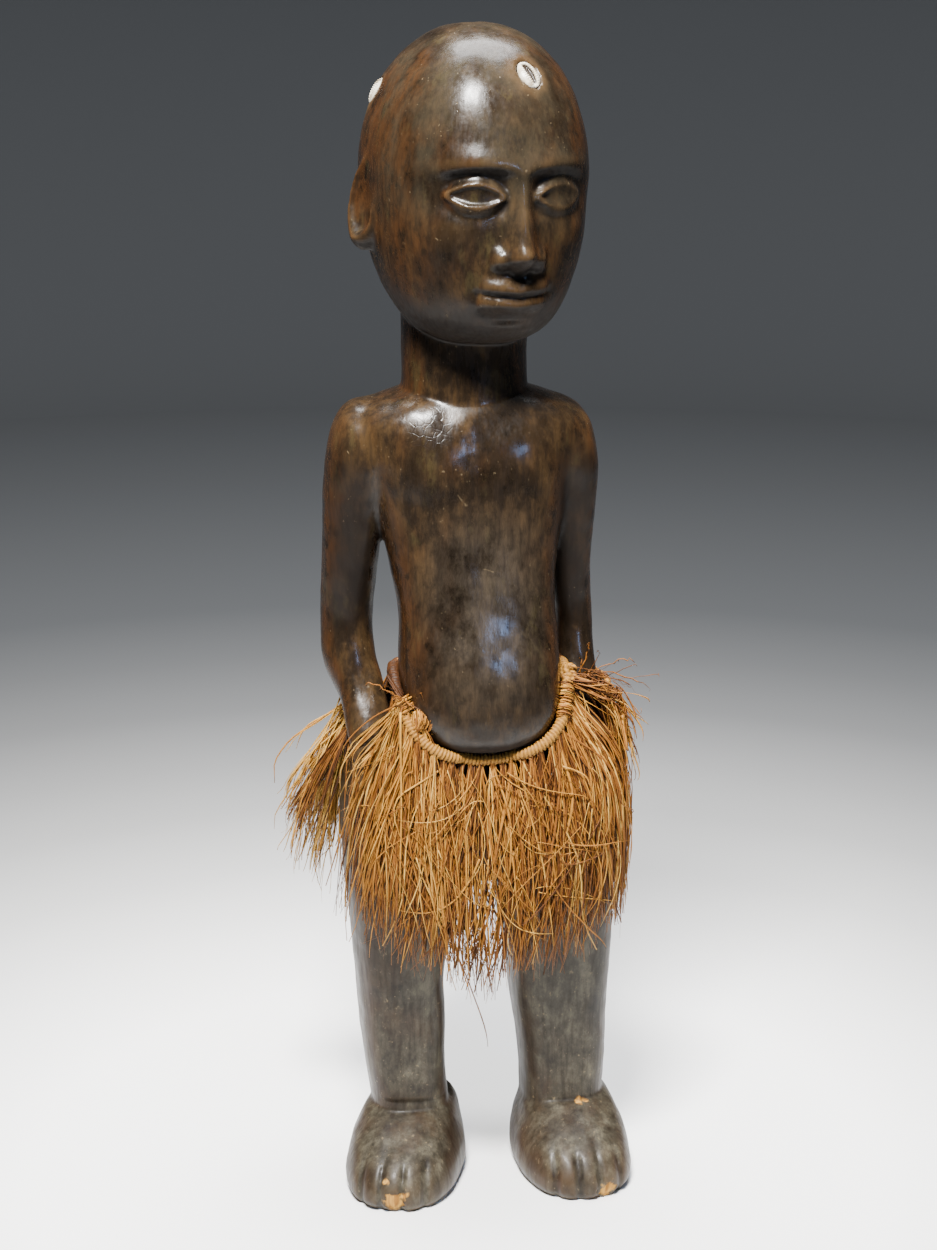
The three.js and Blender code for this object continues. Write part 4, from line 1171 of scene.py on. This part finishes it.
def scratch_group():
    """A thin mark: 1 within a width of the straight line between two places, broken by noise."""
    tree, sheet, given, out = new_group("scratch_mark", ["Mark"], From=(0, 0, 0), To=(0, 0, 1), Width=0.0006)
    drift = sheet.noise(given["Place"], 55.0, 1.0, 0.5, output=1)
    sway = sheet.scaled(sheet.vectors("SUBTRACT", drift, (0.5, 0.5, 0.5)), 0.012)
    swayed = sheet.vectors("ADD", given["Place"], sway)
    line = sheet.vectors("SUBTRACT", given["To"], given["From"])
    off = sheet.vectors("SUBTRACT", swayed, given["From"])
    parts = [sheet.vectors("DOT_PRODUCT", way, line, output=1) for way in (off, line)]
    nearest = sheet.scaled(line, sheet.maths("DIVIDE", *parts, clamp=True))
    distance = sheet.vectors("DISTANCE", off, nearest, output=1)
    wobble = sheet.times(sheet.less(sheet.noise(given["Place"], 330.0), 0.42), 0.0022)
    near = sheet.maths("DIVIDE", sheet.maths("ADD", distance, wobble), given["Width"])
    sheet.put(out["Mark"], sheet.less(1.0, near, clamp=True))
    return tree


def crackle_group():
    """Fine cracks in old lacquer inside a ball: the edges of Voronoi cells, fading outwards."""
    tree, sheet, given, out = new_group("lacquer_crackle", ["Crack"], Middle=(0, 0, 0), Spread=0.02)
    cells = sheet.node("TexVoronoi", {"Vector": given["Place"], "Scale": 210.0}, feature="DISTANCE_TO_EDGE")
    edge = sheet.less(1.0, sheet.stepped(cells[0], 0.0, 0.09))
    far = sheet.vectors("DISTANCE", given["Place"], given["Middle"], output=1)
    outside = sheet.stepped(sheet.maths("DIVIDE", far, given["Spread"]), 0.5, 1.0)
    sheet.put(out["Crack"], sheet.times(edge, sheet.less(1.0, outside)))
    return tree


def new_material(name):
    made = bpy.data.materials.new(name)
    made.use_nodes = True
    tree = made.node_tree
    return made, Sheet(tree), tree.nodes["Principled BSDF"].inputs


def surfaced(sheet, shader, body, rough, height, strength, distance):
    """The shader given its colour, roughness and bump."""
    sheet.put(shader["Base Color"], body)
    sheet.put(shader["Roughness"], rough)
    values = {"Height": height, "Strength": strength, "Distance": distance}
    sheet.put(shader["Normal"], sheet.node("Bump", values)[0])


def in_metres(place):
    return tuple((np.array(place) + PLUMB) * MM)


# Scratches in the lacquer: both ends across, back and up, and the width.
SCRATCHES = [
    ((-17, -48.5, 494), (-2, -49.5, 471), 0.9), ((34.7, -45, 486), (30, -46, 476), 0.8),
    ((-2, -51, 442), (6, -51.5, 439), 0.8), ((-18, -58.4, 397), (-13.9, -65, 378), 1.3),
    ((-60, -31, 131.5), (-52, -31.5, 129.5), 1.6), ((-58, -31, 127), (-53, -31.5, 126), 1.3),
    ((-52, -40, 505), (-48, -42, 494), 0.8), ((-24, -57, 405), (-21, -60, 396), 1.2),
]
CRACKLE = (-31, -40, 532), 17  # middle and spread


def lacquer_marks(sheet, place, dull, blots):
    """Scratches, pale flecks and, on the dull legs, nicks."""
    scratch = scratch_group()
    marks = None
    for start, end, width in SCRATCHES:
        values = {"From": in_metres(start), "To": in_metres(end), "Width": width * MM}
        mark = sheet.node("Group", {"Place": place, **values}, node_tree=scratch)[0]
        marks = mark if marks is None else sheet.most(marks, mark)
    flecks = sheet.stepped(sheet.noise(place, 430.0, 2.0, 0.5), 0.68, 0.76)
    patches = sheet.stepped(sheet.noise(place, 38.0, 3.0, 0.6), 0.48, 0.62)
    often = sheet.times(dull, 0.2, sheet.times(patches, 0.7, 0.12))
    nicks = sheet.stepped(sheet.noise(place, 300.0, 3.0, 0.6, (1, 1, 0.7)), 0.63, 0.68)
    nicks = sheet.times(nicks, sheet.times(dull, sheet.stepped(blots, 0.46, 0.6)))
    flecks = sheet.most(sheet.times(flecks, often), sheet.times(nicks, 0.85))
    return sheet.most(sheet.times(marks, 0.75), flecks)


def wood_material(look):
    """Dark lacquered wood: brown clouds and grain under a glossy coat that gets dull down the legs, painted
    side light in amber where the forms turn away, painted shade in hollows and on undersides, painted sheen
    on the crown and belly, bare where it is chipped."""
    made, sheet, shader = new_material("lacquered_wood")
    place = sheet.place()
    keys = ("warm", "dull", "chip", "hollow", "ridge", "under", "crown", "haze")
    warm, dull, chip, hollow, ridge, under, crown, haze = (sheet.number(key) for key in keys)
    grain = sheet.group(fibre_group(), place=place, stretch=(1, 1, 0.09), fineness=420.0)
    streak = grain["Streak"]
    clouds = sheet.noise(place, 24.0, 8.0, 0.66, (1, 1, 0.5))
    blots = sheet.noise(place, 110.0, 6.0, 0.72, (1, 1, 0.6))
    tint = sheet.times(clouds, 0.6, sheet.times(blots, 0.4))
    olive = sheet.stepped(sheet.noise(place, 52.0, 7.0, 0.75, (1, 1, 0.4)), 0.55, 0.68)
    body = sheet.over(
        sheet.ramp(tint, (0.38, look.lacquer_dark), (0.5, look.lacquer), (0.62, look.lacquer_warm)),
        # painted side light in amber on the sideways-facing surfaces
        (sheet.times(warm, sheet.stepped(blots, 0.3, 0.6)), 0.75, look.amber_side_light),
        (olive, 0.4, (0.045, 0.035, 0.014)),
        # the crown's grey-olive tone and painted sheen
        (sheet.times(crown, sheet.stepped(clouds, 0.4, 0.6)), 0.6, (0.021, 0.0185, 0.0125)),
        # a dusty film and painted sheen on the belly
        (sheet.times(haze, sheet.stepped(tint, 0.36, 0.6)), 0.6, (0.04, 0.034, 0.026)),
    )
    dust = sheet.times(grain["Cloud"], 0.4, sheet.times(blots, 0.6))
    rust = sheet.stepped(sheet.noise(place, 34.0, 6.0, 0.7, (1, 1, 0.5)), 0.5, 0.66)
    legs = sheet.over(
        sheet.ramp(dust, (0.38, look.leg_dark), (0.5, look.leg), (0.63, look.leg_light)),
        (rust, 0.55, (0.03, 0.017, 0.008)),
        # painted side light on the sideways-facing legs
        (warm, 0.6, (0.03, 0.014, 0.007)),
    )
    marks = lacquer_marks(sheet, place, dull, blots)
    body = sheet.over(
        sheet.blended(dull, body, legs),
        (sheet.stepped(streak, 0.45, 0.7), 0.4, (0.007, 0.0045, 0.003)),
        (ridge, 0.3, (0.1, 0.058, 0.025)),
        # painted shade in the hollows
        (hollow, 0.8, (0.004, 0.0025, 0.002)),
        # painted shade on the undersides and the arm fronts
        (under, 0.7, (0.006, 0.0032, 0.0018)),
        (marks, 0.6, (0.15, 0.11, 0.06)),
    )
    bare = sheet.blended(sheet.stepped(streak, 0.35, 0.65), (0.46, 0.245, 0.05, 1), (0.22, 0.1, 0.022, 1))
    body = sheet.blended(chip, body, bare)
    middle, spread = CRACKLE
    crack = sheet.group(crackle_group(), place=place, middle=in_metres(middle), spread=spread * MM)[0]
    body = sheet.blended(crack, body, (0.012, 0.008, 0.006, 1))
    patch = sheet.times(streak, 0.5, sheet.times(blots, 0.5))
    smear = sheet.times(sheet.less(patch, 0.46), 0.8)
    rough = sheet.maths("ADD", sheet.times(dull, 0.2, look.roughness), smear)
    rough = sheet.times(under, 0.38, sheet.times(chip, 0.4, rough))
    rough = sheet.times(hollow, 0.25, rough, clamp=True)
    bared = sheet.most(chip, sheet.most(under, hollow))
    coat = sheet.less(look.coat, sheet.times(dull, look.coat * 0.72))
    sheet.put(shader["Coat Weight"], sheet.times(coat, sheet.less(1.0, bared), clamp=True))
    shader["Coat Roughness"].default_value = 0.16
    shader["Specular IOR Level"].default_value = 0.15
    height = sheet.times(sheet.noise(place, 62.0, 2.0, 0.5, (0.8, 0.8, 1.5)), 0.34)
    dents, splinters = sheet.noise(place, 240.0, 3.0, 0.55), sheet.times(blots, chip)
    for relief, tall in [(dents, 0.16), (streak, 0.2), (crack, -0.14), (marks, -0.12), (splinters, 0.9)]:
        height = sheet.times(relief, tall, height)
    surfaced(sheet, shader, body, rough, height, 0.6, 0.0009)
    return made


def shell_material(look):
    """Ivory shell: faint bands and stains, with painted shade darkening into the slit."""
    made, sheet, shader = new_material("cowrie_shell")
    place = sheet.place()
    stain = sheet.noise(place, 240.0, 4.0, 0.6)
    body = sheet.ramp(stain, (0.35, (0.3, 0.24, 0.16)), (0.5, look.shell), (0.7, (0.62, 0.58, 0.49)))
    # painted shade in the slit
    body = sheet.blended(sheet.stepped(sheet.number("slit"), 0.25, 0.75), body, (0.018, 0.012, 0.008, 1))
    surfaced(sheet, shader, body, sheet.times(stain, 0.3, 0.15), sheet.noise(place, 700.0, 2.0), 0.15, 0.0004)
    return made


def raffia_material(name, look, wrapped):
    """Dry palm fibre: each strand's own tone from straw to red brown, fine streaks and satin gloss."""
    made, sheet, shader = new_material(name)
    tone = sheet.number("tone")
    fibre = sheet.group(fibre_group(), place=sheet.place(), stretch=(1, 1, 0.08), fineness=1500.0)
    streak = fibre["Streak"]
    body = sheet.ramp(
        sheet.times(sheet.less(fibre["Cloud"], 0.5), 0.45, tone),
        (0.0, look.raffia_dark), (0.28, look.raffia_red), (0.55, look.raffia), (0.8, look.raffia_straw),
        (1.0, look.raffia_pale),
    )
    if wrapped:
        body = sheet.blended(sheet.stepped(tone, 0.1, 0.4), body, (*look.cord, 1))
        shade = (sheet.number("between"), 0.9, (0.06, 0.02, 0.005))
    else:
        shade = (sheet.stepped(sheet.number("run"), 0.6, 1.0), 0.35, (0.1, 0.036, 0.008))
    body = sheet.over(body, (sheet.stepped(streak, 0.5, 0.72), 0.28, (0.16, 0.058, 0.012)), shade)
    shader["Specular IOR Level"].default_value = 0.22
    surfaced(sheet, shader, body, sheet.times(streak, 0.25, 0.45), streak, 0.5, 0.0003)
    return made


# What a user would change

def colour(label, *value):
    told = label + ", in linear light"
    kind = {"size": 3, "min": 0, "max": 1, "subtype": "COLOR"}
    return bpy.props.FloatVectorProperty(name=label, description=told, default=value, **kind)


def number(label, told, value, low, high, **kind):
    return bpy.props.FloatProperty(name=label, description=told, default=value, min=low, max=high, **kind)


def size(label, told, value, low, high):
    return number(label, told, value, low, high, unit="LENGTH")


def angle_of(label, told, degrees, low, high):
    return number(label, told, np.radians(degrees), low, high, subtype="ANGLE")


def whole(label, told, value, low, high):
    return bpy.props.IntProperty(name=label, description=told, default=value, min=low, max=high)


class FigureLook(bpy.types.PropertyGroup):
    """Sizes and finishes of the figure, its shells and its skirt."""

    voxel: size("Carving grain", "Size of the finest form that the knife leaves", 0.0014, 0.001, 0.004)
    triangles: whole("Triangles", "Most triangles of the figure", 190000, 20000, 199000)
    lacquer_dark: colour("Darkest lacquer", 0.005, 0.0035, 0.0022)
    lacquer: colour("Lacquer", 0.0135, 0.0085, 0.0048)
    lacquer_warm: colour("Worn lacquer", 0.042, 0.024, 0.01)
    # An amber laid on sideways-facing surfaces: painted side light.
    amber_side_light: colour("Amber lacquer on the turning sides", 0.046, 0.0185, 0.006)
    leg_dark: colour("Darkest leg", 0.012, 0.009, 0.006)
    leg: colour("Leg", 0.033, 0.028, 0.019)
    leg_light: colour("Dusty leg", 0.078, 0.068, 0.047)
    roughness: number("Roughness", "Roughness of the lacquer on the head and trunk", 0.24, 0.05, 1)
    coat: number("Coat", "Strength of the clear coat on the head and trunk", 0.13, 0, 1)
    shell: colour("Shell", 0.5, 0.45, 0.36)
    wrap: size("Whipping pitch", "Length of one turn of the whipping", 0.0024, 0.0015, 0.008)
    strand: size("Strand width", "Usual width of a raffia strand", 0.0012, 0.0005, 0.003)
    bundle: size("Bundle spacing", "Length of cord that one bundle of strands takes up", 0.0066, 0.003, 0.02)
    per_bundle: whole("Strands a bundle", "Strands tied on together", 35, 4, 40)
    cord: colour("Whipping", 0.32, 0.15, 0.022)
    raffia_dark: colour("Dark strand", 0.022, 0.008, 0.0025)
    raffia_red: colour("Red brown strand", 0.105, 0.034, 0.006)
    raffia: colour("Strand", 0.24, 0.088, 0.012)
    raffia_straw: colour("Straw strand", 0.42, 0.19, 0.026)
    raffia_pale: colour("Pale strand", 0.58, 0.34, 0.08)
    seed: whole("Seed", "Seed of every uneven thing", 11, 0, 9999)


class StageLook(bpy.types.PropertyGroup):
    """Floor, lights and camera."""

    floor: colour("Floor", 0.93, 0.93, 0.925)
    wall: colour("Backdrop", 0.036, 0.039, 0.043)
    # The backdrop's fade to dark is painted falloff of the light.
    dark_out: size("Dark backdrop", "How far out the backdrop is darkest", 3, 0.2, 9)
    key: number("Key light", "Power of the soft light above and in front", 230, 0, 1000, unit="POWER")
    window: number("Side light", "Power of the cool light at the front", 9, 0, 1000, unit="POWER")
    world: number("Fill", "Strength of the even light from all round", 0.45, 0, 10)
    camera_height: size("Camera height", "Height of the camera above the floor", 0.93, 0.1, 3)
    camera_far: size("Camera distance", "Level distance of the camera from the figure", 1.75, 0.5, 6)
    camera_side: angle_of("Camera turn", "How far round to its right side the figure is seen", 9, -3.2, 3.2)
    camera_down: angle_of("Camera tilt", "How far the camera looks down", 17.201, -1.5, 1.5)
    view: angle_of("Field of view", "Height of the view", 25.47, 0.1, 2)


# Operators

def stands_for(made, node):
    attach(made, "root")
    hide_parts(node)


class FIGURE_OT_carve(bpy.types.Operator):
    """Carve the figure from one block and lacquer it"""

    bl_idname = "figure.carve"
    bl_label = "Carve the figure"

    def execute(self, context):
        look = context.scene.figure_look
        points, faces = carved_shells()
        made = add_object("carved_figure", points, faces, wood_material(look))
        voxel = look.voxel * 1
        mesh = with_modifier(made, "REMESH", mode="VOXEL", voxel_size=voxel, use_smooth_shade=True)
        points, edges = mesh_points(mesh), mesh_edges(mesh)
        points = relaxed(points, edges, np.full(len(points), 0.35), 2)
        points = relaxed(points, edges, 0.6 * blend_weight(points), 40)
        put_points(mesh, points)
        normals = mesh_normals(mesh)
        points = points + carve_marks(points, normals)[:, None] * normals
        points = press_shell(press_shell(points, FRONT_COWRIE), SIDE_COWRIE)
        points[:, 2] = np.clip(points[:, 2], 0, CROWN)
        put_points(mesh, points)
        share = look.triangles / (2 * len(mesh.polygons))
        if share < 1:
            mesh = with_modifier(made, "DECIMATE", ratio=share)
        if len(mesh.vertices) < 1000:
            raise RuntimeError("the figure's forms did not join")
        mesh.shade_smooth()
        for key, values in wood_values(mesh_points(mesh), mesh_normals(mesh), mesh_edges(mesh)).items():
            put_values(mesh, key, values)
        stands_for(made, "figure")
        return {"FINISHED"}


class FIGURE_OT_set_shells(bpy.types.Operator):
    """Set the two cowrie shells in the head"""

    bl_idname = "figure.set_shells"
    bl_label = "Set the shells"

    def execute(self, context):
        material = shell_material(context.scene.figure_look)
        for name, cowrie, node in [
            ("forehead_cowrie", FRONT_COWRIE, "cowrie_front"), ("temple_cowrie", SIDE_COWRIE, "cowrie_side"),
        ]:
            stands_for(shell_object(name, cowrie, material), node)
        return {"FINISHED"}


class FIGURE_OT_tie_cord(bpy.types.Operator):
    """Whip the waist cord, its knot and the tie over the left arm"""

    bl_idname = "figure.tie_cord"
    bl_label = "Tie the cord"

    def execute(self, context):
        look = context.scene.figure_look
        pitch = look.wrap / MM
        angle = np.radians(np.linspace(0, 360, 720, endpoint=False))
        ring = whipping(waist_point(angle, *cord_line(angle)), CORD_RADIUS + 0.5, pitch, 1.5, look.seed, True)
        angle = np.radians(np.linspace(74, 133, 260))
        tie = whipping(waist_point(angle, *tie_line(angle)), 2.2, pitch * 1.8, 0.9, look.seed + 1)
        knot = whipping(knot_line(), 1.9, pitch * 1.4, 0.6, look.seed + 2)
        parts = [ring, tie, knot]
        points, faces = gathered([part[:2] for part in parts])
        shade, between = (np.concatenate([part[k] for part in parts]) for k in (2, 3))
        x, y, _ = points.T
        # Painted shade and light on the cord: darker round the sides and back and by the right hip, lighter
        # at the front of the left side where the tie runs.
        cord_light_and_shade = mix(1, 0.12, smooth(-44, -34, y)) * (1 - 0.9 * bump(y, -24, 16, 4) * smooth(0, -20, x))
        cord_light_and_shade = np.minimum(cord_light_and_shade + 0.45 * smooth(40, 60, x) * smooth(-5, -20, y), 1)
        material = raffia_material("whipped_fibre", look, True)
        tone = (0.42 + 0.4 * shade) * cord_light_and_shade
        made = add_object("whipped_cord", points, faces, material, tone=tone, between=between)
        stands_for(made, "waist_cord")
        return {"FINISHED"}


class FIGURE_OT_tie_fringe(bpy.types.Operator):
    """Tie on the raffia skirt, strand by strand"""

    bl_idname = "figure.tie_fringe"
    bl_label = "Tie the fringe"

    def execute(self, context):
        look = context.scene.figure_look
        material = raffia_material("raffia_strands", look, False)
        width, spacing = look.strand / MM, look.bundle / MM
        rng = np.random.default_rng(look.seed + 20)
        for name, low, high in FRINGES:
            paths, pale = fringe_paths(rng, low, high, spacing, look.per_bundle)
            paths, kept = settled(paths)
            strands_object(name, rng, [(paths, width, 0.37 + pale[kept], 0.22)], material)
        loose = {name: make(rng, *sizes) for name, (make, *sizes) in LOOSE.items()}
        groups = [
            (settled(loose[name], limit=30)[0], width * wide, *tones) for name, wide, *tones in LAID
        ] + [(loose[name], width * wide, *tones) for name, wide, *tones in FREE]
        strands_object("loose_strands", rng, groups, material)
        return {"FINISHED"}


# Where each light stands, its sizes, its power as a share of a setting, that setting, and its tint.
LIGHTS = [
    ("key", (-0.35, -0.95, 2.1), (0.5, 0.38), 1, "key", (1.0, 0.98, 0.95)),
    ("front", (0.75, -1.9, 0.95), (0.1, 0.42), 1, "window", (0.36, 0.56, 1.0)),
    ("top", (0.1, 0.5, 2.4), (1.4, 0.9), 0.5, "key", (1.0, 1.0, 1.0)),
]
# How dark the paper is at shares of the way out: a painted falloff of the light.
FADES = [
    (0.1, 0), (0.13, 0.2), (0.157, 0.39), (0.187, 0.57), (0.233, 0.74), (0.277, 0.83), (0.33, 0.913),
    (0.387, 0.953), (0.45, 0.98), (0.67, 0.99), (1, 1),
]


class FIGURE_OT_light_stage(bpy.types.Operator):
    """Lay the floor and backdrop, and set the lights and the camera"""

    bl_idname = "figure.light_stage"
    bl_label = "Light the stage"

    def execute(self, context):
        look, scene = context.scene.stage_look, context.scene
        self.lay_floor(look)
        world = bpy.data.worlds.new("even_fill")
        world.use_nodes = True
        back = world.node_tree.nodes["Background"].inputs
        back[0].default_value = (0.95, 0.97, 1.0, 1)
        back[1].default_value = look.world
        scene.world = world
        for name, place, sizes, share, setting, tint in LIGHTS:
            light = bpy.data.lights.new(name, "AREA")
            light.shape = "RECTANGLE"
            light.size, light.size_y = sizes
            light.energy = getattr(look, setting) * share
            light.color = tint
            self.hold(scene, light, place, self.aim(np.array((0, 0, 0.5)) - place))
        camera = bpy.data.cameras.new("camera")
        camera.sensor_fit = "VERTICAL"
        camera.sensor_height = 24
        camera.lens = 12 / np.tan(look.view / 2)
        camera.clip_start = 0.05
        side, (x, y, _) = look.camera_side, PLUMB * MM
        place = (x - look.camera_far * np.sin(side), y - look.camera_far * np.cos(side), look.camera_height)
        scene.camera = self.hold(scene, camera, place, (np.pi / 2 - look.camera_down, 0, -side))
        return {"FINISHED"}

    @staticmethod
    def hold(scene, data, place, angles):
        held = bpy.data.objects.new(data.name, data)
        held.location = place
        held.rotation_euler = angles
        scene.collection.objects.link(held)
        return held

    @staticmethod
    def aim(way):
        """Angles that turn a light from straight down to a way."""
        level = np.hypot(way[0], way[1])
        return (np.arctan2(level, -way[2]), 0, np.arctan2(way[1], way[0]) - np.pi / 2)

    @staticmethod
    def lay_floor(look):
        """A round floor that sweeps up in a quarter circle to an even wall: a profile turned about the
        upright line. Its paper is pale round the figure and dark further out, up and in front: a painted pool
        of light with painted falloff."""
        radius, reach, top, around = 0.6, 3.0, 3.4, 96
        bend = np.linspace(0, np.pi / 2, 17)
        flat = np.linspace(0.05, reach - radius, 24)
        out = np.concatenate([flat, reach - radius + radius * np.sin(bend), [reach]])[:, None]
        z = np.concatenate([flat * 0, radius * (1 - np.cos(bend)), [top]])[:, None]
        angle = all_round(around)
        points, faces = closed_rings(points_at(out * np.cos(angle), out * np.sin(angle), z))
        faces = faces[(faces != len(points) - 1).all(1)][:, ::-1]
        material, sheet, shader = new_material("backdrop_paper")
        place = sheet.place()
        # The paper fades from pale to dark outwards and is dark in front: a painted pool of light with
        # painted falloff.
        share = sheet.maths("DIVIDE", sheet.vectors("LENGTH", place, output=1), look.dark_out, clamp=True)
        pale, dark = np.array(look.floor), np.array(look.wall)
        paper = sheet.ramp(share, *((at, tuple(mix(pale, dark, fade))) for at, fade in FADES))
        ahead = sheet.node("SeparateXYZ", {0: place})[1]
        paper = sheet.blended(sheet.stepped(ahead, -0.7, -0.3), (*look.wall, 1), paper)
        sheet.put(shader["Base Color"], paper)
        shader["Roughness"].default_value = 0.9
        shader["Specular IOR Level"].default_value = 0.2
        add_object("floor_and_backdrop", points[:-1] / MM - PLUMB, faces, material)


class FIGURE_PT_panel(bpy.types.Panel):
    """Lists what builds the figure"""

    bl_label = "Carved figure"
    bl_space_type = "VIEW_3D"
    bl_region_type = "UI"
    bl_category = "Figure"

    def draw(self, context):
        for group in (context.scene.figure_look, context.scene.stage_look):
            column = self.layout.column()
            for key in group.__annotations__:
                column.prop(group, key)
        for operator in STEPS:
            self.layout.operator(operator.bl_idname)


STEPS = [
    FIGURE_OT_light_stage, FIGURE_OT_carve, FIGURE_OT_set_shells, FIGURE_OT_tie_cord, FIGURE_OT_tie_fringe,
]
CLASSES = [FigureLook, StageLook, *STEPS, FIGURE_PT_panel]


def register():
    for kind in CLASSES:
        bpy.utils.register_class(kind)
    bpy.types.Scene.figure_look = bpy.props.PointerProperty(type=FigureLook)
    bpy.types.Scene.stage_look = bpy.props.PointerProperty(type=StageLook)


def unregister():
    del bpy.types.Scene.figure_look
    del bpy.types.Scene.stage_look
    for kind in reversed(CLASSES):
        bpy.utils.unregister_class(kind)


def main():
    register()
    for step in STEPS:
        area, name = step.bl_idname.split(".")
        getattr(getattr(bpy.ops, area), name)()


if __name__ == "__main__":
    main()
